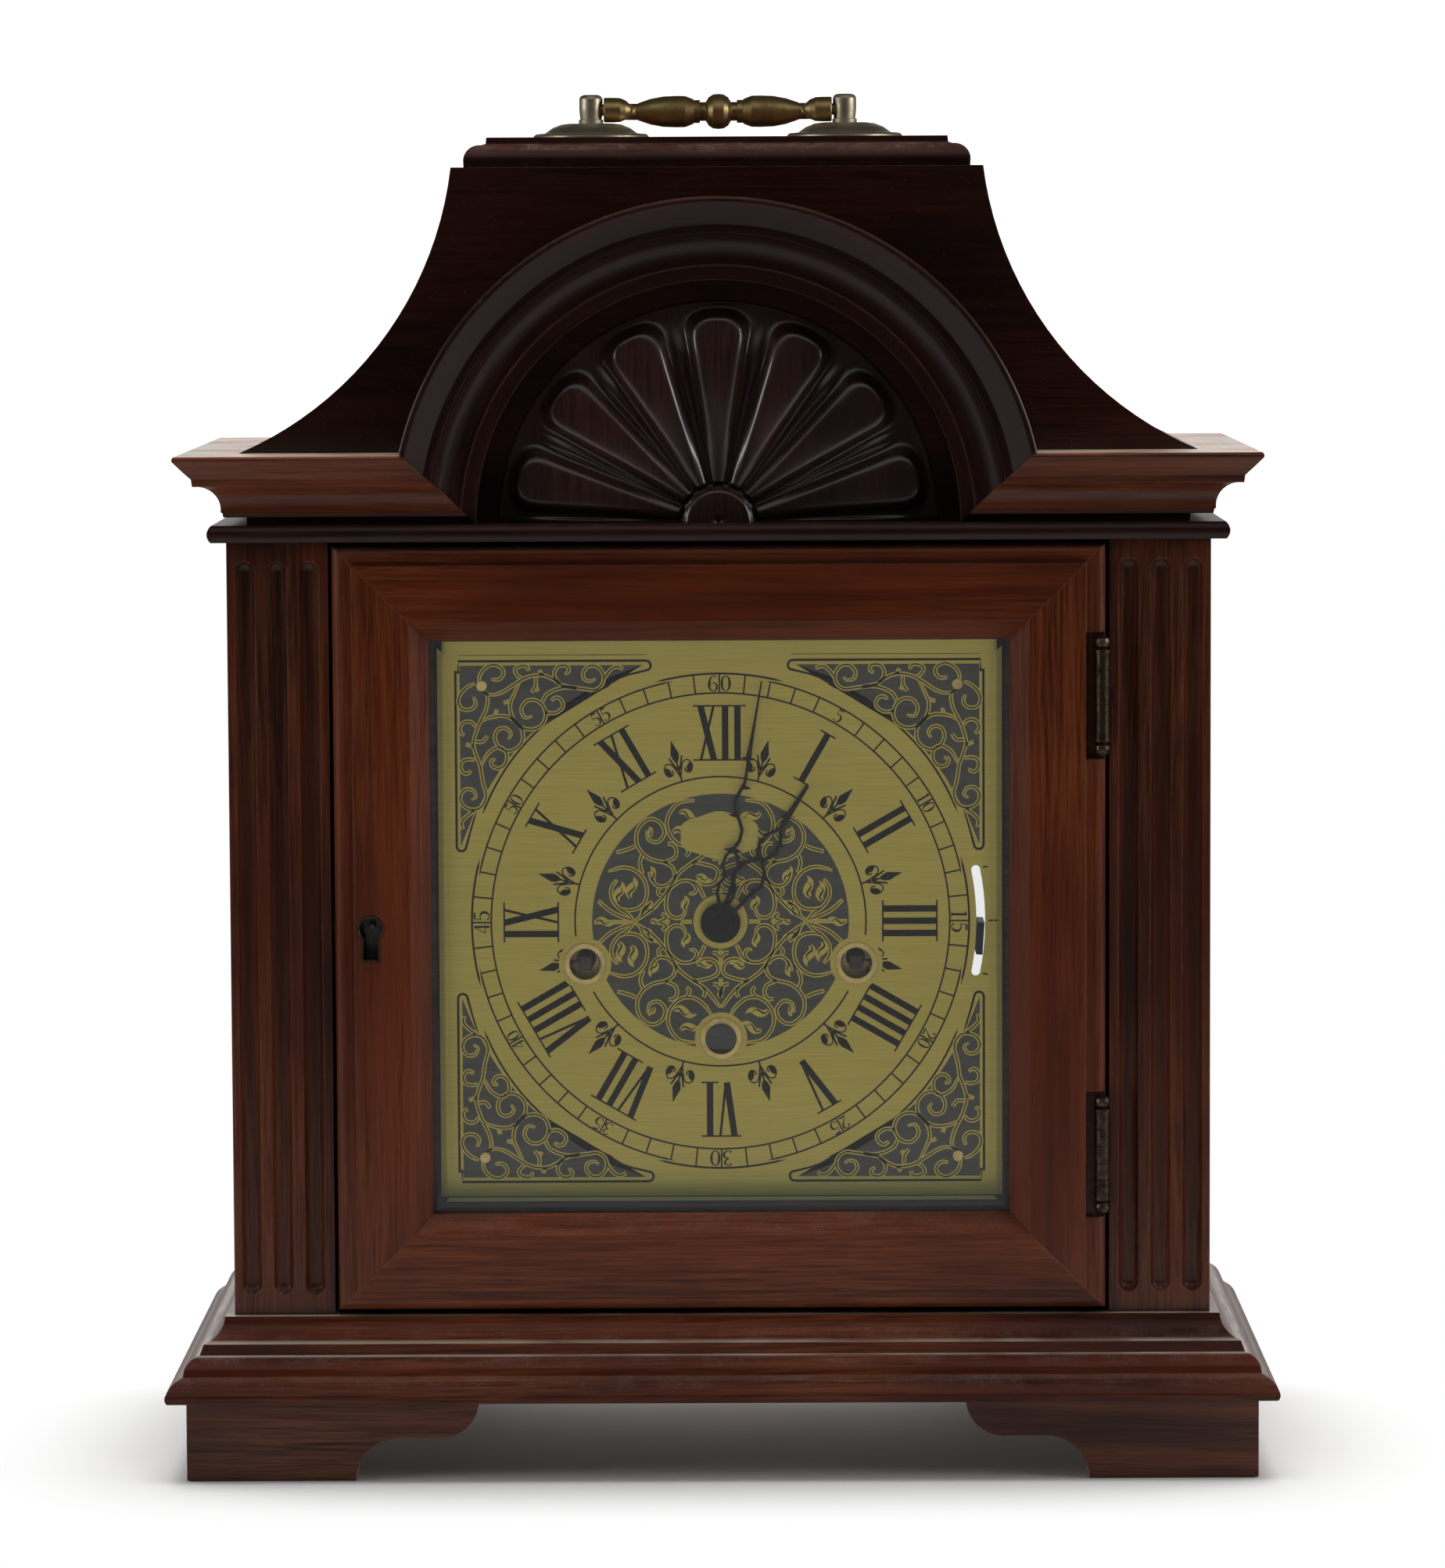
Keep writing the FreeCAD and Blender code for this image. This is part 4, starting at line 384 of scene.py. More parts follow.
# ---------------------------------------------------------------- finishes
class Finish(Protocol):
    """What each finish has: a name, and a way to build its material."""

    name: str

    def build(self) -> bpy.types.Material:
        """Wires the material."""


@dataclass(frozen=True)
class WoodFinish:
    """Polished mahogany, darker or redder by piece, with its wear and dust, painted shade in its hollows and
    paler patches on faces that look straight up.
    """

    name: str
    grain: Grain
    shadow: Colour
    body: Colour
    glow: Colour
    roughness: float = 0.36
    lacquer: float = 0.22
    lacquer_roughness: float = 0.14
    sheen_level: float = 0.3
    wear: float = 0.6
    dust: float = 0.10
    # How far faces that look straight up turn paler.
    ridge_dust: float = 0.0
    hollow: float = 0.75
    specks: float = 0.0
    edge: Colour = (0.30, 0.11, 0.045)
    # Dark fill of the open pores, and also the colour of the painted shade in hollows.
    polish_dirt: Colour = (0.010, 0.004, 0.003)
    dust_colour: Colour = (0.30, 0.25, 0.20)
    ridge_colour: Colour = (0.50, 0.44, 0.36)

    def build(self) -> bpy.types.Material:
        """Wires the wood's material."""
        material, g, shader = new_material(self.name)
        place = grain_place(g, self.grain)
        figure = g.add("ShaderNodeGroup", {"Place": place}, node_tree=wood_figure())
        worn = g.add("ShaderNodeGroup", {"Place": g.place()}, node_tree=worn_edge())
        dirt_and_shade = g.add("ShaderNodeGroup", {"Place": g.place()}, node_tree=settled_dirt())
        colour = g.mix(figure.outputs["Ribbon"], self.shadow, self.body)
        shine = g.times(figure.outputs["Fibre"], g.times(figure.outputs["Cloud"], 0.75))
        colour = g.mix(shine, colour, self.glow)
        colour = g.mix(g.times(figure.outputs["Pores"], 0.55), colour, self.polish_dirt)
        # Painted shade: hollows found by ambient occlusion are darkened toward the dark pore colour.
        colour = g.mix(g.times(dirt_and_shade.outputs["Hollow"], self.hollow), colour, self.polish_dirt)
        colour = g.mix(g.times(worn.outputs["Edge"], self.wear), colour, self.edge)
        lying = g.math("MAXIMUM", g.times(dirt_and_shade.outputs["Dust"], self.dust),
                       g.times(dirt_and_shade.outputs["Specks"], self.specks))
        colour = g.mix(lying, colour, self.dust_colour)
        # Faces that look straight up turn paler in drifting patches.
        colour = g.mix(g.times(dirt_and_shade.outputs["Ledge"], self.ridge_dust), colour, self.ridge_colour)
        g.feed(shader.inputs["Base Color"], colour)
        rough = g.plus(g.times(figure.outputs["Fibre"], 0.10), self.roughness - 0.05)
        rough = g.plus(rough, g.times(lying, 0.5), clamp=True)
        g.feed(shader.inputs["Roughness"], rough)
        g.feed(shader.inputs["Coat Weight"], g.times(g.minus(1.0, lying), self.lacquer))
        shader.inputs["Coat Roughness"].default_value = self.lacquer_roughness
        shader.inputs["Specular IOR Level"].default_value = self.sheen_level
        relief = g.minus(g.times(figure.outputs["Fibre"], 0.25), figure.outputs["Pores"])
        g.feed(shader.inputs["Normal"], g.bump(relief, 0.25, 0.00006, worn.outputs["Normal"]))
        return material


@dataclass(frozen=True)
class MetalFinish:
    """Metal with tarnish in its hollows, brushing and fine scratches."""

    name: str
    bright: Colour
    tarnish: Colour
    roughness: float = 0.25
    tarnish_share: float = 0.4
    tarnish_scale: float = 120.0
    hollow: float = 0.8
    reach: float = 0.004
    edge_width: float = 0.0004
    relief: float = 0.15
    wear: float = 0.5
    metallic: float = 1.0
    shine: float = 0.5
    grain: Grain = Grain.ACROSS

    def build(self) -> bpy.types.Material:
        """Wires the metal's material."""
        material, g, shader = new_material(self.name)
        place = g.place()
        lines = g.add("ShaderNodeGroup", {"Place": grain_place(g, self.grain)}, node_tree=fine_lines())
        worn = g.add("ShaderNodeGroup", {"Place": place, "Width": self.edge_width}, node_tree=worn_edge())
        dirt_and_shade = g.add("ShaderNodeGroup", {"Place": place, "Reach": self.reach}, node_tree=settled_dirt())
        patch = g.noise(place, scale=self.tarnish_scale, detail=4.0, rough=0.65)
        dull = g.times(g.spread(patch, 0.35, 0.68), self.tarnish_share)
        dull = g.math("MAXIMUM", dull, g.times(dirt_and_shade.outputs["Hollow"], self.hollow))
        colour = g.mix(dull, self.bright, self.tarnish)
        lit = tuple(min(1.0, 1.25 * part) for part in self.bright)
        colour = g.mix(g.times(worn.outputs["Edge"], self.wear), colour, lit)
        g.feed(shader.inputs["Base Color"], colour)
        shader.inputs["Metallic"].default_value = self.metallic
        shader.inputs["Specular IOR Level"].default_value = self.shine
        rough = g.plus(g.times(dull, 0.25), self.roughness - 0.04)
        rough = g.plus(rough, g.times(lines.outputs["Lines"], 0.10), clamp=True)
        g.feed(shader.inputs["Roughness"], rough)
        relief = g.minus(g.times(lines.outputs["Lines"], 0.35), lines.outputs["Scratches"])
        g.feed(shader.inputs["Normal"], g.bump(relief, self.relief, 0.00003, worn.outputs["Normal"]))
        return material


@dataclass(frozen=True)
class GlassFinish:
    """Clear glass with a faint smear on it; on the front glass, painted shade along the bevelled sides and at
    the foot.
    """

    name: str
    tint: Colour
    smear: float = 0.02
    edge_tint: Colour | None = None
    foot_tint: Colour = (0.46, 0.55, 0.66)
    half: float = 0.0908
    centre_z: float = 0.1724
    bevel: float = 0.0052
    foot: float = 0.0105

    def build(self) -> bpy.types.Material:
        """Wires the glass: clear in the middle, with painted shade along its sides and its foot."""
        material, g, shader = new_material(self.name)
        patch = g.noise(g.place(), scale=30.0, detail=4.0, rough=0.7)
        colour = g.mix(g.spread(patch, 0.3, 0.7), self.tint, tuple(0.97 * part for part in self.tint))
        # Painted shade: the bevelled sides, and more strongly the foot, are tinted darker and bluer, standing
        # in for the dark frame seen through the bevel.
        if self.edge_tint:
            x, _, z = g.axes(g.place())
            side = g.spread(g.math("ABSOLUTE", x), self.half - self.bevel, self.half - self.bevel * 0.7)
            colour = g.mix(side, colour, self.edge_tint)
            down = g.minus(self.centre_z, z)
            foot = g.math("POWER", g.spread(down, self.half - self.foot, self.half - 0.002), 0.6)
            colour = g.mix(foot, colour, self.foot_tint)
        g.feed(shader.inputs["Base Color"], colour)
        shader.inputs["Transmission Weight"].default_value = 1.0
        shader.inputs["Metallic"].default_value = 0.0
        shader.inputs["IOR"].default_value = 1.5
        g.feed(shader.inputs["Roughness"], g.spread(patch, 0.5, 0.9, 0.0, self.smear))
        g.feed(shader.inputs["Normal"], g.bump(patch, 0.01, 0.0002))
        return material


@dataclass(frozen=True)
class DialFinish:
    """Brushed gold or silver sheet, lacquered, with small spots of age."""

    name: str
    light: Colour
    dark: Colour
    roughness: float = 0.36
    metallic: float = 0.75
    lines: float = 0.5
    spots: float = 0.35
    spot_colour: Colour = (0.12, 0.07, 0.02)

    def build(self) -> bpy.types.Material:
        """Wires the sheet's material, brushed across the dial."""
        material, g, shader = new_material(self.name)
        lines = g.add("ShaderNodeGroup", {"Place": grain_place(g, Grain.ACROSS)}, node_tree=fine_lines())
        tone = g.plus(g.times(lines.outputs["Lines"], self.lines),
                      g.times(lines.outputs["Bands"], 1.0 - self.lines))
        colour = g.mix(g.spread(tone, 0.32, 0.68), self.dark, self.light)
        patch = g.noise(g.place(), scale=22.0, detail=3.0, rough=0.6)
        specks = g.noise(g.place(), scale=260.0, detail=3.0, rough=0.7)
        aged = g.times(g.spread(specks, 0.68, 0.76), g.spread(patch, 0.45, 0.6))
        colour = g.mix(g.times(aged, self.spots), colour, self.spot_colour)
        g.feed(shader.inputs["Base Color"], colour)
        shader.inputs["Metallic"].default_value = self.metallic
        g.feed(shader.inputs["Roughness"], g.plus(g.times(lines.outputs["Lines"], 0.18),
                                                  self.roughness - 0.09))
        g.feed(shader.inputs["Normal"], g.bump(lines.outputs["Lines"], 0.12, 0.00002))
        return material


@dataclass(frozen=True)
class PrintFinish:
    """Ink or paint laid on metal, a little uneven and rubbed."""

    name: str
    ink: Colour
    rubbed: Colour
    roughness: float = 0.5
    gloss: float = 0.0
    shine: float = 0.12

    def build(self) -> bpy.types.Material:
        """Wires the ink's material."""
        material, g, shader = new_material(self.name)
        patch = g.noise(g.place(), scale=900.0, detail=3.0, rough=0.7)
        g.feed(shader.inputs["Base Color"], g.mix(g.spread(patch, 0.45, 0.8), self.ink, self.rubbed))
        rough = g.spread(patch, 0.2, 0.8, self.roughness - 0.08, self.roughness + 0.1)
        g.feed(shader.inputs["Roughness"], rough)
        shader.inputs["Coat Weight"].default_value = self.gloss
        shader.inputs["Specular IOR Level"].default_value = self.shine
        g.feed(shader.inputs["Normal"], g.bump(patch, 0.08, 0.00002))
        return material


def mahogany(name: str, grain: Grain, **changes: object) -> WoodFinish:
    """The case's own mahogany, with changes for one piece.

    Args:
        name: The finish's name.
        grain: Which way the grain runs.
        changes: Fields that differ for this piece.

    Returns:
        The finish.
    """
    base: dict[str, object] = {"shadow": (0.030, 0.0064, 0.0034), "body": (0.082, 0.0165, 0.0064),
                               "glow": (0.20, 0.052, 0.015)}
    base.update(changes)
    return WoodFinish(name=name, grain=grain, **base)


DARK_WOOD = {"shadow": (0.0100, 0.0030, 0.0024), "body": (0.024, 0.0058, 0.0036),
             "glow": (0.060, 0.0145, 0.0070), "edge": (0.14, 0.045, 0.022)}
DOOR_WOOD = {"shadow": (0.052, 0.0082, 0.0026), "body": (0.116, 0.0205, 0.0052), "glow": (0.25, 0.060, 0.013)}
SHELL_WOOD = mahogany("Carved fan wood", Grain.UPRIGHT, lacquer=1.0, lacquer_roughness=0.16, wear=0.4,
                      dust=0.0, sheen_level=0.8, shadow=(0.014, 0.0036, 0.0030),
                      body=(0.034, 0.0074, 0.0050), glow=(0.075, 0.018, 0.010), edge=(0.16, 0.05, 0.03))
PLAIN_WOOD = {"shadow": (0.10, 0.050, 0.024), "body": (0.20, 0.105, 0.050), "glow": (0.30, 0.17, 0.085),
              "lacquer": 0.1, "roughness": 0.55, "wear": 0.2}
OLD_BRASS = MetalFinish("Handle brass", (0.62, 0.46, 0.20), (0.24, 0.165, 0.065), roughness=0.36,
                        tarnish_share=0.7, tarnish_scale=90.0)
PLATE_BRASS = MetalFinish("Plate brass", (0.70, 0.63, 0.46), (0.40, 0.34, 0.23), roughness=0.38,
                          tarnish_share=0.6, tarnish_scale=160.0)
HINGE_BRONZE = MetalFinish("Hinge bronze", (0.150, 0.105, 0.070), (0.022, 0.015, 0.011), roughness=0.30,
                           tarnish_share=0.85, tarnish_scale=420.0, reach=0.002)
FITTING_BRASS = MetalFinish("Dial brass", (0.66, 0.50, 0.20), (0.18, 0.11, 0.040), roughness=0.20,
                            tarnish_share=0.45, reach=0.002)
CLOCK_BRASS = MetalFinish("Clock brass", (0.72, 0.53, 0.22), (0.26, 0.17, 0.06), roughness=0.24,
                          tarnish_share=0.35, grain=Grain.UPRIGHT)
ARBOR_STEEL = MetalFinish("Dark steel", (0.06, 0.057, 0.054), (0.02, 0.019, 0.017), roughness=0.26,
                          tarnish_share=0.5)
STEEL = MetalFinish("Steel", (0.40, 0.39, 0.37), (0.10, 0.09, 0.08), roughness=0.28, tarnish_share=0.5)
IRON = MetalFinish("Cast iron", (0.10, 0.10, 0.11), (0.030, 0.028, 0.027), roughness=0.50,
                   tarnish_share=0.6, relief=0.4)
BLACK_HAND = MetalFinish("Black hand", (0.012, 0.012, 0.013), (0.006, 0.006, 0.006), roughness=0.42,
                         metallic=0.0, relief=0.1, wear=0.3, shine=0.15)
LOCK_BRASS = MetalFinish("Lock brass", (0.55, 0.42, 0.20), (0.16, 0.11, 0.05), roughness=0.3)
GOLD_SHEET = DialFinish("Gold dial sheet", (0.58, 0.475, 0.110), (0.475, 0.385, 0.086), lines=0.8)
ETCHED_GROUND = DialFinish("Etched ground", (0.076, 0.078, 0.068), (0.058, 0.059, 0.051), roughness=0.30,
                           metallic=0.7, lines=0.3, spots=0.15)
BLACK_INK = PrintFinish("Dial ink", (0.010, 0.010, 0.009), (0.030, 0.028, 0.020))
FRONT_GLASS = GlassFinish("Bevelled glass", (0.985, 0.985, 0.975), edge_tint=(0.56, 0.58, 0.66))
REAR_GLASS = GlassFinish("Rear glass", (0.95, 0.98, 0.97))


class Wardrobe:
    """Builds each finish once and puts it on nodes and pieces."""

    def __init__(self) -> None:
        """Starts with no finish built."""
        self.made: dict[str, bpy.types.Material] = {}

    def material(self, finish: Finish) -> bpy.types.Material:
        """The material of a finish, built on first use."""
        if finish.name not in self.made:
            self.made[finish.name] = finish.build()
        return self.made[finish.name]

    def dress_node(self, obj: bpy.types.Object, finish: Finish) -> None:
        """Puts a finish on every material slot of a carried-over node."""
        for slot in obj.material_slots:
            slot.material = self.material(finish)

    def dress_piece(self, obj: bpy.types.Object, finish: Finish, slot: str, body: str) -> bpy.types.Object:
        """Finishes a new piece and makes it ride.

        Args:
            obj: The piece.
            finish: Its finish.
            slot: The record's material slot that it belongs to; not used.
            body: The body that it moves with.

        Returns:
            The piece.
        """
        obj.data.materials.clear()
        obj.data.materials.append(self.material(finish))
        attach(obj, body)
        LOG.info("piece %s rides on %s", obj.name, body)
        return obj


def linked(name: str, mesh: bmesh.types.BMesh) -> bpy.types.Object:
    """Ends a mesh and links it into the scene.

    Args:
        name: The new object's name.
        mesh: Its shape, which is freed.

    Returns:
        The object.
    """
    data = bpy.data.meshes.new(name)
    mesh.to_mesh(data)
    mesh.free()
    obj = bpy.data.objects.new(name, data)
    bpy.context.scene.collection.objects.link(obj)
    return obj


# ---------------------------------------------------------------- drawing in the dial's plane
def smooth(points: Sequence[Point], steps: int = 5) -> list[Point]:
    """Points along a smooth line through the given ones.

    Args:
        points: The points that the line passes through.
        steps: New points for each span.

    Returns:
        The finer line.
    """
    if len(points) < 3:
        return list(points)
    line: list[Point] = []
    for n in range(len(points) - 1):
        before = points[max(n - 1, 0)]
        start, end = points[n], points[n + 1]
        after = points[min(n + 2, len(points) - 1)]
        for k in range(steps):
            t = k / steps
            line.append(tuple(
                0.5 * (2 * b + (c - a) * t + (2 * a - 5 * b + 4 * c - d) * t * t
                       + (3 * b - 3 * c + d - a) * t ** 3)
                for a, b, c, d in zip(before, start, end, after)))
    line.append(points[-1])
    return line


def turned(point: Point, angle: float) -> Point:
    """A point (across, up) turned clockwise about the dial's centre, in degrees."""
    c, s = math.cos(math.radians(angle)), math.sin(math.radians(angle))
    return point[0] * c + point[1] * s, -point[0] * s + point[1] * c


def arc(radius: float, start: float, end: float, steps: int, centre: Point = (0.0, 0.0)) -> list[Point]:
    """Points on an arc; the angles are in degrees clockwise from the top."""
    return [(centre[0] + radius * math.sin(math.radians(start + (end - start) * n / steps)),
             centre[1] + radius * math.cos(math.radians(start + (end - start) * n / steps)))
            for n in range(steps + 1)]


def quarters(points: Iterable[Point]) -> list[tuple[int, int]]:
    """The signs that repeat a drawing in four quarters, once only where it lies on an axis."""
    listed = list(points)
    flat = all(abs(v) < 1e-6 for _, v in listed)
    upright = all(abs(u) < 1e-6 for u, _ in listed)
    return [(sx, sz) for sx in ((1,) if upright else (1, -1)) for sz in ((1,) if flat else (1, -1))]


class FlatWork:
    """Thin closed plates laid in the dial's plane, gathered into one mesh."""

    def __init__(self, face_y: float, centre_z: float, near: float, far: float) -> None:
        """Sets the plane.

        Args:
            face_y: The dial's front face, in metres.
            centre_z: Height of the dial's centre, in metres.
            near: Front of the plates before the face, in millimetres.
            far: Back of the plates before the face, in millimetres.
        """
        self.mesh = bmesh.new()
        self.face_y, self.centre_z = face_y, centre_z
        self.near, self.far = near, far
        self.count = 0

    def corner(self, point: Point, rise: float) -> bmesh.types.BMVert:
        """A vertex at a place on the dial, a little before its face."""
        return self.mesh.verts.new((point[0] * MM, self.face_y - rise * MM, self.centre_z + point[1] * MM))

    def front(self) -> float:
        """The next plate's front: plates that cross differ by a hair, so none lies in another's face."""
        self.count += 1
        return self.near + 0.002 * (self.count % 12)

    def strip(self, left: Sequence[Point], right: Sequence[Point], closed: bool = False) -> None:
        """A plate between two lines of the same length.

        Args:
            left: One side.
            right: The other side.
            closed: Whether the last points join the first ones.
        """
        near = self.front()
        rows = [(self.corner(a, near), self.corner(b, near), self.corner(b, self.far),
                 self.corner(a, self.far))
                for a, b in zip(left, right)]
        last = len(rows) if closed else len(rows) - 1
        for n in range(last):
            here, there = rows[n], rows[(n + 1) % len(rows)]
            for k in range(4):
                self.mesh.faces.new((here[k], here[(k + 1) % 4], there[(k + 1) % 4], there[k]))
        if not closed:
            self.mesh.faces.new(rows[0][::-1])
            self.mesh.faces.new(rows[-1])

    def stroke(self, points: Sequence[Point], widths: Sequence[float] | float) -> None:
        """A line of changing width.

        Args:
            points: The middle of the line.
            widths: One width, or one for each point.
        """
        left, right = [], []
        for n, point in enumerate(points):
            before, after = points[max(n - 1, 0)], points[min(n + 1, len(points) - 1)]
            run = Vector((after[0] - before[0], after[1] - before[1]))
            if run.length < 1e-6:
                run = Vector((0.0, 1.0))
            run.normalize()
            half = (widths if isinstance(widths, (int, float)) else widths[n]) / 2
            left.append((point[0] - run.y * half, point[1] + run.x * half))
            right.append((point[0] + run.y * half, point[1] - run.x * half))
        self.strip(left, right)

    def ring(self, inner: float, outer: float, centre: Point = (0.0, 0.0), steps: int = 96) -> None:
        """A flat ring."""
        inside, outside = (arc(radius, 0, 360, steps, centre)[:-1] for radius in (inner, outer))
        self.strip(inside, outside, closed=True)

    def patch(self, loop: Sequence[Point]) -> None:
        """A plate with the given outline."""
        near = self.front()
        front = [self.corner(p, near) for p in loop]
        back = [self.corner(p, self.far) for p in loop]
        faces = [self.mesh.faces.new(front), self.mesh.faces.new(back[::-1])]
        for n in range(len(loop)):
            m = (n + 1) % len(loop)
            self.mesh.faces.new((front[m], front[n], back[n], back[m]))
        bmesh.ops.triangulate(self.mesh, faces=faces, ngon_method="EAR_CLIP")

    def finish(self, name: str) -> bpy.types.Object:
        """Ends the mesh and links it into the scene as an object."""
        bmesh.ops.recalc_face_normals(self.mesh, faces=self.mesh.faces)
        return linked(name, self.mesh)


CORNER_VINES: tuple[tuple[Point, ...], ...] = (
    ((-75.5, 73.5), (-72.1, 72.2), (-68.7, 72.9), (-65.3, 75.0), (-62.0, 77.1), (-58.6, 78.2),
     (-55.2, 78.2), (-52.2, 76.9), (-49.6, 75.2), (-45.8, 74.4), (-42.4, 73.9), (-39.4, 73.6),
     (-36.9, 75.4), (-36.5, 78.4), (-38.4, 80.9), (-41.1, 81.1), (-42.9, 79.0), (-42.4, 76.9),
     (-40.3, 76.4), (-39.0, 77.3)),
    ((-75.9, 75.8), (-75.3, 78.8), (-73.4, 80.9), (-70.9, 81.7), (-68.5, 80.5), (-68.1, 78.6),
     (-69.6, 77.0), (-71.9, 77.1)),
    ((-62.0, 77.2), (-63.7, 78.4), (-64.4, 80.1), (-62.8, 81.2), (-60.7, 81.2), (-60.0, 79.7)),
    ((-50.1, 75.5), (-51.7, 77.3), (-51.9, 79.5), (-50.5, 81.2), (-48.1, 81.2), (-47.4, 79.7),
     (-48.7, 78.6)),
    ((-57.9, 77.8), (-57.9, 75.0), (-59.3, 72.9)), ((-57.9, 75.0), (-57.2, 73.2)),
    ((-55.8, 78.3), (-56.8, 80.0)),
    ((-62.6, 76.7), (-64.5, 72.9), (-66.0, 69.0), (-65.3, 65.2), (-63.0, 62.3), (-59.6, 61.2),
     (-56.4, 62.3), (-54.8, 65.2), (-55.6, 68.6), (-58.1, 70.5), (-60.9, 70.1), (-62.5, 67.6),
     (-61.4, 65.0), (-59.0, 65.4)),
    ((-65.9, 70.3), (-68.1, 69.6)),
    ((-56.1, 69.2), (-54.7, 72.0), (-51.8, 73.7), (-48.4, 74.4), (-45.0, 74.1)),
    ((-54.8, 66.7), (-52.0, 66.3), (-49.5, 68.0), (-49.6, 70.1), (-51.3, 71.3), (-53.1, 70.3)),
    ((-36.5, 76.9), (-34.8, 79.4), (-32.6, 80.9), (-30.3, 80.2)),
    ((-75.5, 73.5), (-73.6, 72.6), (-73.0, 70.5), (-73.8, 67.1), (-75.5, 63.7), (-77.0, 59.9),
     (-77.7, 56.7), (-77.0, 53.5), (-75.6, 49.7), (-75.1, 46.5), (-74.6, 43.8), (-73.8, 40.8),
     (-74.4, 38.0), (-76.4, 36.1), (-79.4, 36.1), (-81.5, 37.8), (-81.9, 40.4), (-80.2, 42.3),
     (-78.0, 42.0), (-77.0, 40.0), (-78.5, 39.0)),
    ((-77.0, 75.8), (-79.6, 74.6), (-81.8, 72.2), (-82.3, 69.7), (-81.1, 67.8), (-78.5, 67.6),
     (-76.9, 69.2), (-77.5, 71.6)),
    ((-76.9, 62.0), (-78.1, 63.5), (-80.2, 63.7), (-81.7, 62.3), (-81.7, 60.3), (-80.4, 59.5)),
    ((-77.2, 51.6), (-79.4, 51.8), (-81.3, 51.0), (-81.7, 48.9), (-80.2, 47.2), (-78.4, 48.1)),
    ((-76.2, 62.9), (-73.6, 64.6), (-70.7, 65.4), (-67.4, 65.4), (-64.3, 63.7), (-62.3, 61.0),
     (-62.2, 57.6), (-64.1, 55.2), (-67.0, 54.4), (-69.7, 55.8), (-70.9, 58.6), (-69.9, 61.2),
     (-67.4, 61.6), (-65.8, 59.8), (-66.7, 58.1)),
    ((-75.2, 49.8), (-73.4, 53.3), (-71.0, 55.2), (-68.7, 55.4), (-67.2, 53.5), (-67.5, 50.5),
     (-69.6, 48.9), (-71.7, 49.6), (-72.1, 51.3), (-70.7, 51.8)),
    ((-77.5, 35.5), (-80.2, 33.6), (-81.6, 31.7), (-81.2, 29.7)),
    ((-77.2, 57.5), (-74.8, 57.4), (-73.3, 59.2)), ((-70.9, 65.4), (-70.1, 67.5)),
    ((-77.8, 55.7), (-80.0, 56.7)),
)
CENTRE_VINES: tuple[tuple[Point, ...], ...] = (
    ((-27.5, 0.0), (-25.1, -1.6), (-21.5, -4.2), (-17.9, -8.1), (-15.4, -11.9), (-12.7, -15.8),
     (-8.3, -19.1), (-5.0, -21.3), (-1.7, -25.3), (-0.1, -27.4)),
    ((-11.0, -4.4), (-11.8, -1.9), (-14.4, -1.2), (-16.7, -3.0), (-17.2, -6.4), (-16.0, -10.3),
     (-12.7, -12.8), (-9.4, -12.8), (-7.6, -10.8), (-8.3, -9.1), (-10.0, -8.9)),
    ((-10.5, -13.1), (-7.4, -11.9), (-5.0, -7.5)),
    ((-8.7, -18.9), (-5.0, -18.3), (-1.5, -17.0), (-0.7, -14.7), (-2.1, -12.5), (-5.0, -11.9),
     (-7.4, -13.3)),
    ((-27.5, -0.5), (-29.5, -2.7), (-32.2, -4.5), (-34.3, -7.5), (-34.4, -10.8), (-32.6, -13.4)),
    ((-32.2, -4.5), (-29.7, -3.8), (-26.3, -4.2), (-23.9, -6.4), (-23.2, -10.0), (-24.2, -13.6),
     (-27.0, -16.4), (-30.8, -17.3), (-35.4, -16.1)),
    ((-15.7, -11.7), (-14.4, -14.4), (-15.1, -17.2), (-17.6, -18.8), (-21.5, -19.7), (-24.7, -21.9),
     (-26.5, -25.7), (-25.6, -30.1), (-22.1, -32.7), (-18.7, -31.3), (-17.6, -28.0), (-19.7, -25.4),
     (-22.6, -26.2), (-23.2, -29.0)),
    ((-14.9, -13.6), (-16.5, -11.8), (-19.3, -11.3), (-21.5, -13.1), (-22.4, -15.9)),
    ((-3.0, -29.8), (-5.0, -26.8), (-8.3, -24.4), (-12.1, -24.3), (-15.3, -26.7), (-16.8, -30.7),
     (-15.9, -34.6), (-12.9, -37.8), (-8.0, -38.5)),
    ((-17.6, -19.0), (-14.6, -20.3), (-13.8, -22.7), (-15.0, -24.6), (-16.6, -24.7)),
    ((-24.5, -21.6), (-25.4, -18.6), (-24.5, -15.3)), ((-27.0, -24.1), (-29.1, -23.1), (-32.8, -22.1)),
    ((-11.0, -24.1), (-9.9, -22.1), (-10.9, -20.9)), ((-5.5, -24.1), (-5.0, -22.1), (-6.2, -20.5)),
    ((-25.3, -1.5), (-24.2, -4.2), (-21.5, -6.4)), ((-19.3, -10.8), (-19.7, -9.2), (-18.4, -8.1)),
    ((0.0, -8.9), (0.0, -14.2)), ((0.0, -18.0), (0.0, -24.1)),
    ((0.0, -11.4), (-1.4, -10.0), (-2.5, -10.0)), ((0.0, -21.9), (-1.2, -20.1), (-2.5, -19.9)),
    ((-40.0, 0.0), (-27.5, 0.0)), ((-27.5, -0.5), (-31.0, -1.6), (-35.0, -3.6), (-38.6, -6.8)),
    ((-22.0, 0.0), (-16.0, 0.0)), ((-19.5, 0.0), (-17.0, -1.4), (-18.6, -2.6)),
    ((-12.6, 0.0), (-9.0, 0.0)),
)
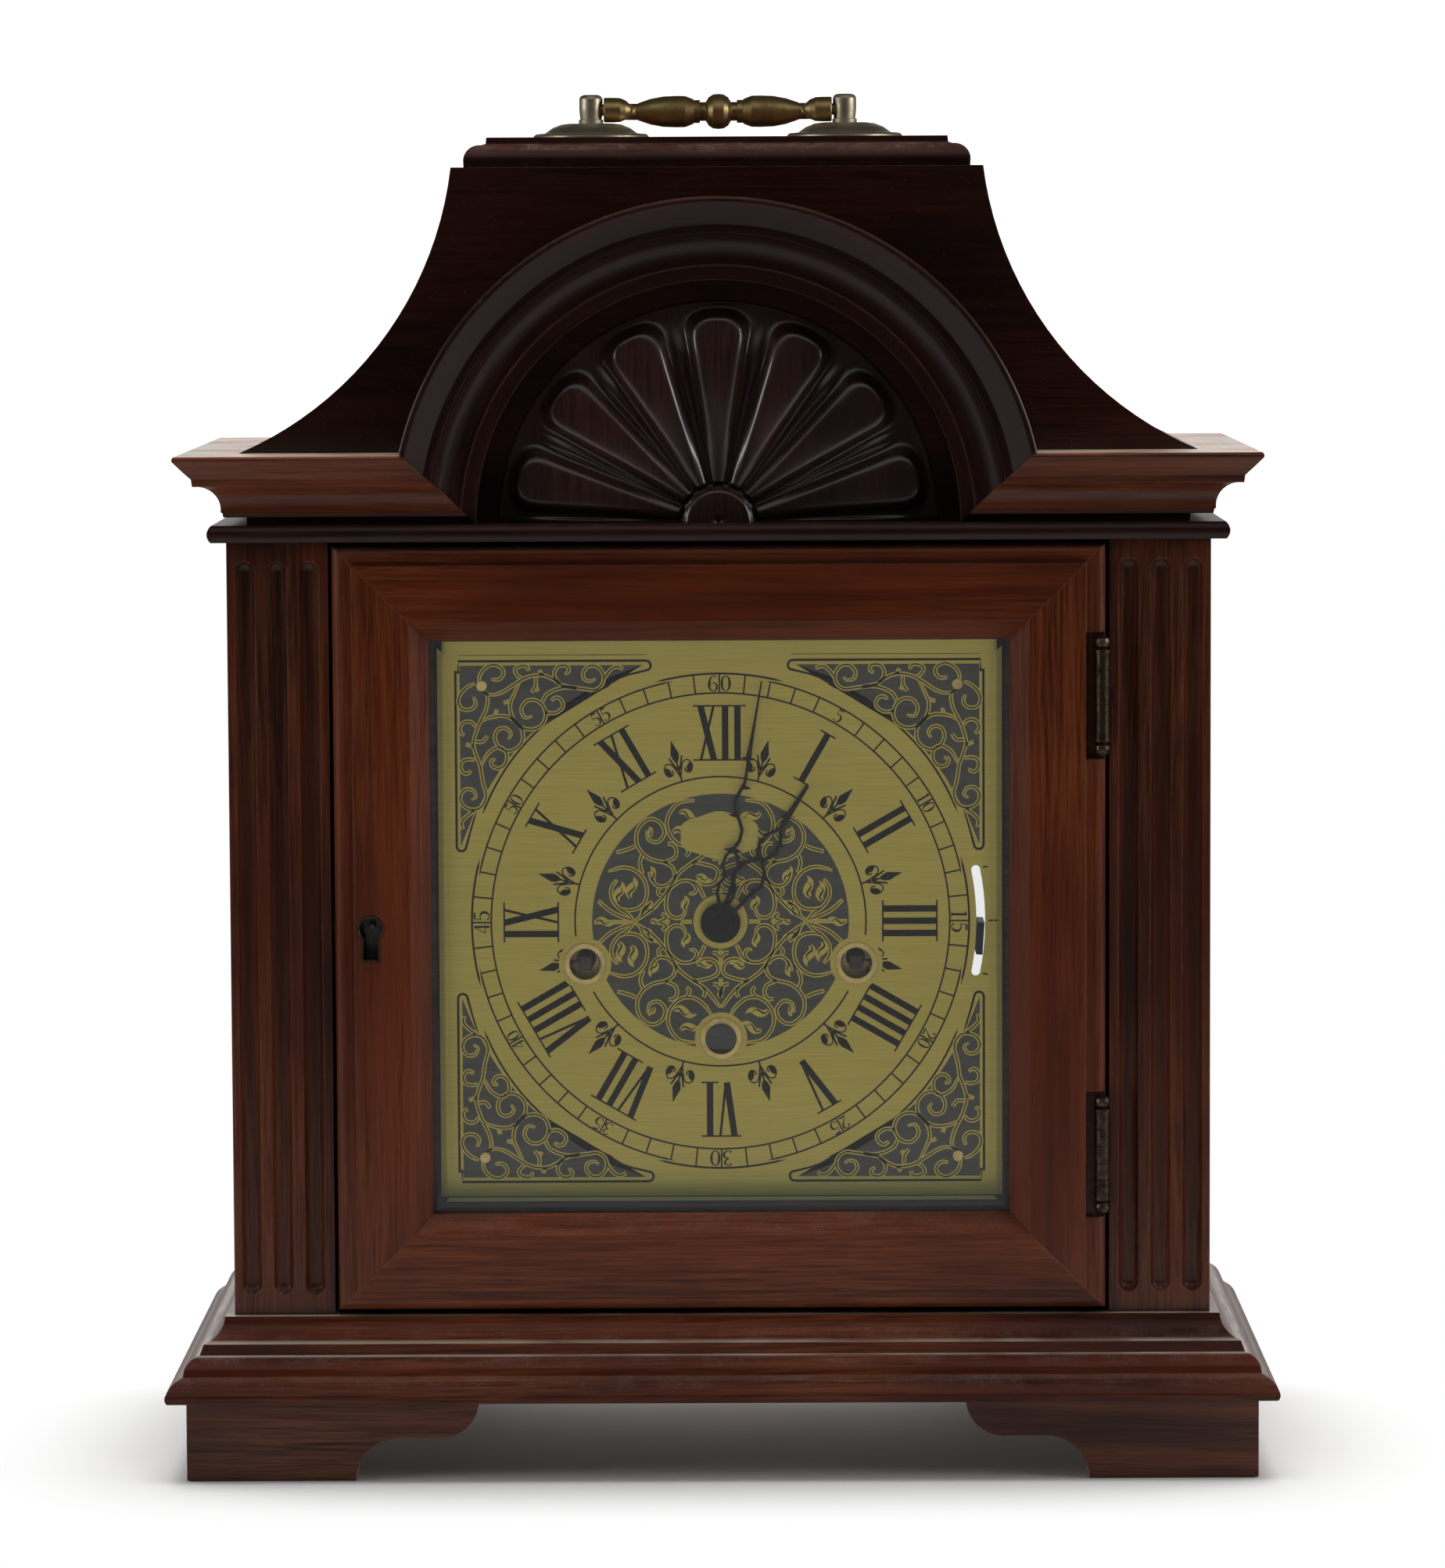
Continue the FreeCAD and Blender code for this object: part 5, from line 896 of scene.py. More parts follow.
CENTRE_LEAVES: tuple[tuple[Point, Point, float], ...] = (
    ((-10.8, -3.8), (-11.4, -8.2), 1.9), ((-7.6, -13.9), (-2.6, -13.6), 1.6),
    ((-32.3, -6.6), (-31.2, -12.8), 2.1), ((-28.4, -7.6), (-27.4, -14.4), 2.1),
    ((-20.6, -12.8), (-22.2, -17.6), 1.7), ((-15.0, -28.2), (-7.6, -29.4), 1.9),
    ((-12.8, -34.6), (-6.0, -32.6), 1.8), ((-21.4, -27.2), (-22.6, -30.2), 1.4),
    ((-39.4, 0.0), (-33.4, 0.0), 1.7), ((-22.2, 0.0), (-18.2, 0.0), 1.2),
    ((0.0, -24.4), (0.0, -20.4), 1.3), ((-24.6, -2.2), (-19.4, -6.6), 1.2),
)
DIGITS: dict[str, tuple[tuple[tuple[float, float, float], ...], ...]] = {
    "0": (((0.30, 1.0, 0.05), (0.12, 0.84, 0.11), (0.06, 0.5, 0.16), (0.12, 0.16, 0.11), (0.30, 0.0, 0.05),
           (0.48, 0.16, 0.11), (0.54, 0.5, 0.16), (0.48, 0.84, 0.11), (0.30, 1.0, 0.05)),),
    "1": (((0.30, 0.0, 0.15), (0.30, 1.0, 0.15)), ((0.12, 0.0, 0.05), (0.48, 0.0, 0.05)),
          ((0.30, 0.98, 0.10), (0.12, 0.86, 0.05))),
    "2": (((0.10, 0.74, 0.15), (0.14, 0.92, 0.08), (0.30, 1.0, 0.05), (0.50, 0.86, 0.13), (0.48, 0.64, 0.14),
           (0.28, 0.34, 0.07), (0.07, 0.05, 0.05)), ((0.06, 0.05, 0.10), (0.54, 0.06, 0.13))),
    "3": (((0.10, 0.86, 0.12), (0.27, 1.0, 0.05), (0.47, 0.86, 0.12), (0.44, 0.64, 0.10), (0.24, 0.54, 0.05)),
          ((0.24, 0.54, 0.05), (0.50, 0.42, 0.12), (0.54, 0.20, 0.15), (0.30, 0.0, 0.05),
           (0.08, 0.14, 0.12))),
    "4": (((0.42, 0.0, 0.14), (0.42, 1.0, 0.14)), ((0.40, 0.98, 0.05), (0.03, 0.28, 0.05)),
          ((0.03, 0.28, 0.05), (0.60, 0.28, 0.05))),
    "5": (((0.14, 0.97, 0.13), (0.52, 0.97, 0.11)), ((0.14, 0.98, 0.05), (0.12, 0.56, 0.05)),
          ((0.11, 0.54, 0.05), (0.28, 0.62, 0.06), (0.50, 0.50, 0.14), (0.54, 0.27, 0.16), (0.42, 0.06, 0.10),
           (0.24, 0.0, 0.05), (0.08, 0.14, 0.12))),
    "6": (((0.48, 0.90, 0.10), (0.32, 1.0, 0.05), (0.14, 0.82, 0.10), (0.06, 0.42, 0.16), (0.14, 0.10, 0.10),
           (0.32, 0.0, 0.05), (0.52, 0.14, 0.12), (0.52, 0.40, 0.12), (0.34, 0.55, 0.05),
           (0.12, 0.42, 0.05)),),
}
CORNERS = ((1, 1), (-1, 1), (1, -1), (-1, -1))
ROMAN = ("XII", "I", "II", "III", "IIII", "V", "VI", "VII", "VIII", "IX", "X", "XI")


@dataclass
class DialPrinting:
    """The dial's minute track, numerals, circles and etched scrollwork, in millimetres from its centre."""

    wardrobe: Wardrobe
    centre_z: float = 0.1725
    corner_edge: float = 82.8
    corner_arc: float = 83.6
    track_outer: float = 77.6
    track_bulge: float = 78.6
    track_inner: float = 72.5
    numeral_outer: float = 68.4
    numeral_inner: float = 51.3
    chapter_circle: float = 46.0
    centre_disc: float = 40.6
    line: float = 0.52
    bar: float = 0.5
    thick: float = 2.05
    thin: float = 0.8
    serif: float = 0.75
    vine: float = 1.35
    vine_core: float = 0.40
    arbor_gap: float = 9.3
    ground_layer: Point = (0.03, -0.02)
    scroll_layer: Point = (0.08, 0.02)
    core_layer: Point = (0.13, 0.07)
    field_layer: Point = (0.17, 0.02)
    ink_layer: Point = (0.06, 0.01)
    arbors: tuple[Point, ...] = ((-42.9, -13.3), (42.9, -13.3), (0.0, -37.2))
    face_y: float = field(init=False, default=0.0)

    def sheet(self, layer: Point) -> FlatWork:
        """Starts a layer of plates between two heights before the dial's face."""
        return FlatWork(self.face_y, self.centre_z, *layer)

    def vines(self) -> Iterable[list[Point]]:
        """Every vine of the scrollwork, in its place."""
        for vine in CORNER_VINES + CENTRE_VINES:
            for sx, sz in quarters(vine):
                yield smooth([(sx * u, sz * v) for u, v in vine])

    def leaves(self) -> Iterable[tuple[Point, Point, float]]:
        """Every leaf of the centre's scrollwork: its base, its tip and its width."""
        for base, tip, width in CENTRE_LEAVES:
            for sx, sz in quarters((base, tip)):
                yield (sx * base[0], sz * base[1]), (sx * tip[0], sz * tip[1]), width

    def leaf(self, work: FlatWork, base: Point, tip: Point, width: float, share: float) -> None:
        """A leaf that swells near its base and bends a little.

        Args:
            work: The layer that receives it.
            base: Where it starts.
            tip: Its point.
            width: Its greatest width.
            share: The part of its length that is drawn.
        """
        run = Vector((tip[0] - base[0], tip[1] - base[1]))
        side = Vector((-run.y, run.x)) * 0.12
        points, widths = [], []
        for n in range(9):
            t = share * n / 8
            sway = math.sin(math.pi * 2 * n / 8)
            points.append((base[0] + run.x * t + side.x * sway, base[1] + run.y * t + side.y * sway))
            widths.append(max(0.12, width * math.sin(math.pi * min(1.0, (n + 1.2) / 9.2)) ** 0.9))
        work.stroke(points, widths)

    def grounds(self) -> bpy.types.Object:
        """The grey etched ground of the four corners and of the centre."""
        work = self.sheet(self.ground_layer)
        curve = arc(self.corner_arc + 0.9, 26.7, 63.3, 18)
        loop = [(81.9, 24.2), (81.9, 81.4), (24.2, 81.4), (34.8, 77.6)] + curve + [(77.6, 34.8)]
        for sx, sz in CORNERS:
            work.patch([(sx * u, sz * v) for u, v in loop])
        work.patch(arc(self.centre_disc, 0, 360, 120)[:-1])
        return work.finish("dial_etched_grounds")

    def scrolls(self) -> bpy.types.Object:
        """The gold vines and leaves over the etched grounds."""
        work = self.sheet(self.scroll_layer)
        for line in self.vines():
            count = len(line)
            widths = [self.vine * min(1.0, 0.55 + 4.0 * min(n + 1, count - n) / count) for n in range(count)]
            work.stroke(line, widths)
        for base, tip, width in self.leaves():
            self.leaf(work, base, tip, width * 1.3, 1.0)
        return work.finish("dial_scrolls")

    def scroll_lines(self) -> bpy.types.Object:
        """The dark line that runs along the middle of each vine and leaf."""
        work = self.sheet(self.core_layer)
        for line in self.vines():
            count = len(line)
            widths = [self.vine_core * min(1.0, 0.2 + 5.0 * min(n, count - 1 - n) / count)
                      for n in range(count)]
            work.stroke(line, [max(0.08, w) for w in widths])
        for base, tip, width in self.leaves():
            self.leaf(work, base, tip, width * 0.28, 0.7)
        return work.finish("dial_scroll_lines")

    def covers(self) -> bpy.types.Object:
        """Plain gold left round the holes and the empty name field over the centre."""
        work = self.sheet(self.field_layer)
        for place in self.arbors:
            work.ring(5.2, 8.3, place, 48)
        work.ring(5.0, 8.6, (0.0, 0.0), 64)
        field_edge = []
        for n in range(72):
            a = 2 * math.pi * n / 72
            lobe = 1.0 + 0.045 * math.cos(6 * a)
            field_edge.append((-0.2 + 12.7 * lobe * math.sin(a), 27.4 + 7.3 * lobe * math.cos(a)))
        work.patch(field_edge)
        return work.finish("dial_plain_fields")

    def corner_frames(self, work: FlatWork) -> None:
        """The dark outlines round the four corner panels."""
        e, wide = self.corner_edge, self.line * 1.45
        side = [(e + 0.4, 79.8), (e + 0.4, 24.2)] + arc(1.5, 90.0, 250.0, 8, (e - 1.1, 24.2))[1:]
        top = [(e - 0.5, 79.0), (e - 0.5, e), (23.2, e)]
        tip = [(23.2 - 1.6 * math.sin(t), 81.2 + 1.6 * math.cos(t)) for t in (0.0, 0.5, 1.0, 1.5, 2.0, 2.5)]
        sweep = [(self.corner_arc - 1.1 + 1.1 * math.sin(math.pi * n / 24)) for n in range(25)]
        curve = [turned((0.0, r), 24.6 + 40.8 * n / 24) for n, r in enumerate(sweep)]
        for sx, sz in CORNERS:
            def here(points: Sequence[Point]) -> list[Point]:
                """The points in this corner."""
                return [(sx * u, sz * v) for u, v in points]
            work.stroke(here(side + [(79.0, 28.5), (77.6, 33.2), (76.8, 35.6)]),
                        [wide] * len(side) + [wide * 0.8, wide * 0.7, 0.1])
            work.stroke(here([(e + 0.4, 79.6), (e - 0.7, 78.8)]), [wide * 0.8, 0.1])
            work.stroke(here(top), wide)
            work.stroke(here(tip + [(28.5, 78.4), (34.0, 76.4), (37.0, 74.9)]),
                        [wide] * len(tip) + [wide * 0.8, wide * 0.7, 0.1])
            ends = [0.1] + [self.line * 1.15] * 23 + [0.1]
            work.stroke(here(curve), ends)

    def track(self, work: FlatWork) -> None:
        """The minute track: its circles, sixty divisions and the five-minute numbers."""
        half = self.line / 2
        work.ring(self.track_inner - half, self.track_inner + half, steps=180)
        for quarter in range(4):
            bulge = [turned((0.0, self.track_bulge), 90 * quarter + a) for a in range(-15, 16)]
            work.stroke(bulge, [0.08, 0.3] + [self.line * 1.2] * 27 + [0.3, 0.08])
            corner = [turned((0.0, self.track_outer), 90 * quarter + a) for a in range(11, 80)]
            work.stroke(corner, [0.08, 0.3] + [self.line] * 65 + [0.3, 0.08])
        for minute in range(60):
            if minute == 5:
                continue
            away = min(minute % 15, 15 - minute % 15)
            outer = self.track_bulge if away < 2 else self.track_outer
            ends = [turned((0.0, r), 6.0 * minute) for r in (self.track_inner, outer)]
            work.stroke(ends, self.line * 0.95)
        for minute in range(5, 61, 5):
            self.track_number(work, minute)

    def track_number(self, work: FlatWork, minute: int) -> None:
        """One number of the track, its two digits on either side of the division."""
        digits = str(minute)
        height = 4.9 if minute % 15 == 0 else 4.1
        for place, digit in enumerate(digits):
            shift = 0.0 if len(digits) == 1 else (-2.0, 2.0)[place] * height / 4.9
            for path in DIGITS[digit]:
                points = [((u - 0.3) * height * 1.05 + shift, self.track_inner + 0.55 + v * height)
                          for u, v, _ in path]
                widths = [w * height for _, _, w in path]
                if len(points) > 2:
                    points = smooth(points, 4)
                    widths = [w for w, _ in smooth([(w, 0.0) for w in widths], 4)]
                work.stroke([turned(p, 6.0 * minute) for p in points], [max(0.2, w) for w in widths])

    def numeral(self, work: FlatWork, text: str, angle: float) -> None:
        """One Roman numeral, its feet to the centre.

        Args:
            work: The layer that receives it.
            text: The numeral.
            angle: Its place, in degrees clockwise from the top.
        """
        low, high = self.numeral_inner, self.numeral_outer
        half = {"I": 1.95, "V": 3.6, "X": 3.7}
        across = -sum(half[letter] for letter in text)
        start = across
        foot_from, foot_to = None, None

        def put(points: Sequence[Point], width: float) -> None:
            """A stroke in this mark's own place."""
            work.stroke([turned(p, angle) for p in points], width)

        for letter in text:
            middle = across + half[letter]
            if letter == "I":
                put([(middle, low), (middle, high)], self.thick)
            elif letter == "V":
                put([(middle - 2.2, high), (middle + 0.2, low)], self.thick)
                put([(middle + 2.3, high), (middle + 0.5, low)], self.thin)
            else:
                put([(middle - 2.1, high), (middle + 2.1, low)], self.thick)
                put([(middle + 2.0, high), (middle - 2.0, low)], self.thin)
            if letter != "V":
                foot_from = across if foot_from is None else foot_from
                foot_to = across + 2 * half[letter]
            across += 2 * half[letter]
        put([(start - self.serif, high), (across + self.serif, high)], self.bar)
        if foot_from is not None:
            put([(foot_from - self.serif, low), (foot_to + self.serif, low)], self.bar)

    def fleur(self, work: FlatWork, angle: float) -> None:
        """The spear and two curls that stand on the inner circle between two numerals."""
        root = self.chapter_circle

        def put(points: Sequence[Point], widths: Sequence[float] | float) -> None:
            """A stroke in this mark's own place."""
            work.stroke([turned(p, angle) for p in points], widths)

        put([(0.0, root), (0.0, root + 7.0)], 0.55)
        put([(0.0, root + 6.2), (0.0, root + 7.4), (0.0, root + 9.0), (0.0, root + 11.0), (0.0, root + 13.4)],
            [0.5, 2.0, 2.7, 1.5, 0.12])
        for side in (-1, 1):
            put(smooth([(0.0, root + 3.6), (side * 0.9, root + 5.2), (side * 2.1, root + 8.2)]),
                [0.7] * 5 + [0.55] * 5 + [0.3])
            curl = smooth([(0.0, root + 1.4), (side * 0.7, root + 3.4), (side * 1.8, root + 5.9),
                           (side * 3.4, root + 6.4), (side * 4.4, root + 5.0), (side * 4.3, root + 3.4),
                           (side * 3.2, root + 2.4), (side * 2.0, root + 3.0), (side * 2.1, root + 4.2)])
            put(curl, 0.42)
            put([(side * 4.3, root + 5.4), (side * 3.9, root + 4.8), (side * 3.5, root + 3.9),
                 (side * 3.1, root + 3.1), (side * 2.4, root + 2.6)], [0.3, 1.3, 1.9, 1.5, 0.3])

    def chapter(self, work: FlatWork) -> None:
        """The inner circle, broken where the winding holes stand in it."""
        gap = math.degrees(2 * math.asin(self.arbor_gap / 2 / self.chapter_circle))
        right = math.degrees(math.atan2(*self.arbors[1]))
        left = 360.0 - right
        half = self.line / 2
        for start, end in ((left + gap - 360.0, right - gap), (right + gap, left - gap)):
            inner = arc(self.chapter_circle - half, start, end, 90)
            outer = arc(self.chapter_circle + half, start, end, 90)
            work.strip(inner, outer)

    def printing(self) -> bpy.types.Object:
        """Everything on the dial that is printed in black."""
        work = self.sheet(self.ink_layer)
        self.track(work)
        self.chapter(work)
        self.corner_frames(work)
        for hour, text in enumerate(ROMAN):
            self.numeral(work, text, 30.0 * hour)
            self.fleur(work, 30.0 * hour + 15.0)
        for angle in (78.5, 90.0, 101.5):
            work.stroke([turned((0.0, r), angle) for r in (84.6, 86.2)], self.line)
        return work.finish("dial_printing")

    def build(self) -> None:
        """Lays the dial's work on its plate, from the etched ground up to the ink."""
        self.face_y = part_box("dial_plate")[0].y
        for piece, finish in ((self.grounds(), ETCHED_GROUND), (self.scrolls(), GOLD_SHEET),
                              (self.scroll_lines(), BLACK_INK), (self.covers(), GOLD_SHEET),
                              (self.printing(), BLACK_INK)):
            self.wardrobe.dress_piece(piece, finish, "dial_metal", "case")


# ---------------------------------------------------------------- the carved shell
def eased(value: float, low: float, high: float) -> float:
    """0 below low, 1 above high, and a smooth rise between them."""
    t = min(1.0, max(0.0, (value - low) / (high - low)))
    return t * t * (3.0 - 2.0 * t)


def softly_least(a: float, b: float, blend: float) -> float:
    """The lesser of two values, with the corner between them rounded."""
    h = max(blend - abs(a - b), 0.0) / blend
    return min(a, b) - h * h * blend / 4.0


@dataclass
class ShellCarving:
    """The carved half shell: seven dished petals with rounded ends, narrow rays between them and a hub.

    Lengths are millimetres; the place comes from the CAD node that it stands for.
    """

    wardrobe: Wardrobe
    petals: int = 7
    hub: float = 11.2
    hub_rise: float = 7.6
    root_half: float = 2.3
    end_half: float = 12.0
    petal_end: float = 66.8
    rim: float = 3.4
    columns: int = 20

    def relief(self, x: float, z: float) -> float:
        """How far the carving stands out from its ground.

        Args:
            x: Across, from the hub's middle.
            z: Up, from the hub's middle.

        Returns:
            The height of the surface.
        """
        reach = math.hypot(x, z)
        if reach < self.hub:
            return self.hub_rise - 1.7 * eased(reach, self.hub - 2.2, self.hub) ** 2
        if reach < self.hub + 1.0:
            return 1.2
        step = math.pi / self.petals
        turn = math.atan2(x, z)
        turn -= step * max(-(self.petals // 2), min(self.petals // 2, round(turn / step)))
        across, along = reach * math.sin(turn), reach * math.cos(turn)
        share = (along - self.hub) / (self.petal_end - self.hub)
        half = self.root_half + (self.end_half - self.root_half) * min(1.0, share) ** 0.95
        side = half - abs(across)
        end = self.petal_end - 0.018 * across * across - along
        inside = softly_least(side, end, 7.0)
        crown = 1.0 - 0.16 * (across / max(half, 1.0)) ** 2
        body = 3.4 + 3.6 * eased(along, self.hub, 48.0) - 1.5 * eased(along, 50.0, self.petal_end)
        ray = 2.5 * (1.0 - eased(reach, 52.0, 66.0)) + 0.2
        ray += 0.5 * eased(-side, 0.2, 2.5) * (1.0 - eased(reach, 40.0, 62.0))
        groove = 1.3 * math.exp(-(side / 0.75) ** 2) * (1.0 - eased(reach, 54.0, 64.0))
        return max(0.15, ray + (body * crown - ray) * eased(inside, 0.0, self.rim) - groove)

    def build(self) -> bpy.types.Object:
        """Carves the shell and puts it in the place of the CAD's plain one."""
        low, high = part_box("shell_carving")
        back, base = high.y, low.z
        radii = [0.1, 4.0, 8.0] + [self.hub - d for d in (2.2, 1.6, 1.0, 0.5, 0.1)]
        radii += [self.hub + 0.01, self.hub + 0.9, self.hub + 1.1]
        radii += [self.hub + 1.1 + (69.0 - self.hub - 1.1) * n / 70 for n in range(1, 71)]
        turns = self.petals * self.columns
        mesh = bmesh.new()
        front_rows, back_rows = [], []
        for reach in radii:
            front_row, back_row = [], []
            for n in range(turns + 1):
                angle = math.pi * (n / turns - 0.5)
                x, z = reach * math.sin(angle), reach * math.cos(angle)
                lift = self.relief(x, z)
                front_row.append(mesh.verts.new((x * MM, back - lift * MM, base + z * MM)))
                back_row.append(mesh.verts.new((x * MM, back, base + z * MM)))
            front_rows.append(front_row)
            back_rows.append(back_row)
        for rows, smooth_face in ((front_rows, True), (back_rows, False)):
            for near, far in zip(rows, rows[1:]):
                for n in range(turns):
                    face = mesh.faces.new((near[n], near[n + 1], far[n + 1], far[n]))
                    face.smooth = smooth_face
        for n in range(turns):
            for row in (0, -1):
                mesh.faces.new((front_rows[row][n], front_rows[row][n + 1], back_rows[row][n + 1],
                                back_rows[row][n]))
        for row in range(len(radii) - 1):
            for end in (0, -1):
                mesh.faces.new((front_rows[row][end], front_rows[row + 1][end], back_rows[row + 1][end],
                                back_rows[row][end]))
        bmesh.ops.recalc_face_normals(mesh, faces=mesh.faces)
        obj = linked("fan_relief", mesh)
        self.wardrobe.dress_piece(obj, SHELL_WOOD, "carved_wood", "case")
        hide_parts("shell_carving")
        return obj


# ---------------------------------------------------------------- the carried-over nodes
@dataclass
class Dressing:
    """A group of carried-over nodes and the finish of each."""

    wardrobe: Wardrobe
    nodes: dict[str, bpy.types.Object]

    def finishes(self) -> dict[str, Finish]:
        """The finish of each node of the group."""
        raise NotImplementedError

    def build(self) -> None:
        """Dresses the group's nodes."""
        for name, finish in self.finishes().items():
            self.wardrobe.dress_node(self.nodes[name], finish)
            LOG.info("node %s wears %s", name, finish.name)


@dataclass
class CaseWork(Dressing):
    """Base, sides, pilasters, cornice, arch, hood and feet."""

    def finishes(self) -> dict[str, Finish]:
        """The finish of each node of the case."""
        return {
            "base_moulding": mahogany("Base moulding wood", Grain.MITRED, dust=0.22, wear=0.5,
                                      ridge_dust=0.75, sheen_level=0.2, shadow=(0.024, 0.0048, 0.0028),
                                      body=(0.068, 0.0125, 0.0050)),
            "base_board": mahogany("Base board wood", Grain.ACROSS, **PLAIN_WOOD),
            "feet": mahogany("Foot wood", Grain.BRACKET, body=(0.13, 0.030, 0.012), glow=(0.26, 0.085, 0.030),
                             dust=0.2),
            "side_panels": mahogany("Side wood", Grain.UPRIGHT, dust=0.2),
            # The flutes take the full painted shade in their hollows.
            "pilasters": mahogany("Pilaster wood", Grain.UPRIGHT, hollow=1.0, wear=0.75, dust=0.5,
                                  shadow=(0.022, 0.0055, 0.0036), glow=(0.19, 0.052, 0.018)),
            "necking_board": mahogany("Necking wood", Grain.ACROSS, **DARK_WOOD),
            "cornice_moulding": mahogany("Cornice wood", Grain.MITRED, body=(0.12, 0.026, 0.0105),
                                         glow=(0.25, 0.072, 0.020), dust=0.15, ridge_dust=0.5),
            "arch_moulding": mahogany("Arch wood", Grain.ARCHED, wear=0.9, **DARK_WOOD),
            "hood_boards": mahogany("Hood board wood", Grain.ACROSS, specks=0.35, lacquer=0.35, **DARK_WOOD),
            "hood_shell": mahogany("Hood side wood", Grain.DEPTH, specks=0.6, dust=0.2, **DARK_WOOD),
            "top_cap": mahogany("Cap wood", Grain.ACROSS, specks=0.3, dust=0.2, wear=0.3, **DARK_WOOD),
            "shell_panel": mahogany("Shell ground wood", Grain.ACROSS, **DARK_WOOD),
            "shell_carving": SHELL_WOOD,
            "keyhole_liner": HINGE_BRONZE,
            "strike_plate": LOCK_BRASS,
            "case_hinges": HINGE_BRONZE,
        }


@dataclass
class DoorWork(Dressing):
    """The glazed front door with its lock, and the rear door."""

    def finishes(self) -> dict[str, Finish]:
        """The finish of each node of the two doors."""
        return {
            "door_stiles": mahogany("Door stile wood", Grain.UPRIGHT, dust=0.15, **DOOR_WOOD),
            "door_rails": mahogany("Door rail wood", Grain.ACROSS, dust=0.22, **DOOR_WOOD),
            "door_glass_beads": mahogany("Glass bead wood", Grain.ACROSS, **PLAIN_WOOD),
            "door_glass": FRONT_GLASS,
            "door_hinge_leaves": HINGE_BRONZE,
            "lock_case": STEEL,
            "lock_bolt": LOCK_BRASS,
            "rear_door_frame": mahogany("Rear door wood", Grain.FRAMED, dust=0.2),
            "rear_glass": REAR_GLASS,
            "rear_knob": PLATE_BRASS,
            "rear_case_hinges": LOCK_BRASS,
            "rear_door_hinges": LOCK_BRASS,
        }


@dataclass
class MovementWork(Dressing):
    """Handle, dial metal, hands and the movement behind the dial."""

    by_start: tuple[tuple[tuple[str, ...], Finish], ...] = (
        (("winding_arbor",), ARBOR_STEEL),
        (("hammer_", "chime_rods", "centre_arbor"), STEEL),
        (("barrel_", "idle_wheel", "minute_wheel", "hour_wheel", "movement_frame", "chime_drum", "platform",
          "balance_wheel"), CLOCK_BRASS),
    )

    def finishes(self) -> dict[str, Finish]:
        """The finish of each node, by its own name or by how its name starts."""
        named: dict[str, Finish] = {
            "handle_bail": OLD_BRASS,
            "handle_mounts": PLATE_BRASS,
            "dial_plate": GOLD_SHEET,
            "dial_fittings": FITTING_BRASS,
            "dial_board": mahogany("Dial board wood", Grain.ACROSS, **PLAIN_WOOD),
            "minute_hand": BLACK_HAND,
            "hour_hand": BLACK_HAND,
            "selector_lever": BLACK_HAND,
            "gong_block": IRON,
        }
        for starts, finish in self.by_start:
            named.update({name: finish for name in self.nodes if name.startswith(starts)})
        return named


# ---------------------------------------------------------------- studio
@dataclass(frozen=True)
class Lamp:
    """A square soft box: where it stands, what it points at, its size and its strength."""

    name: str
    place: tuple[float, float, float]
    aim: tuple[float, float, float]
    size: float
    power: float
    mirrored: bool = True


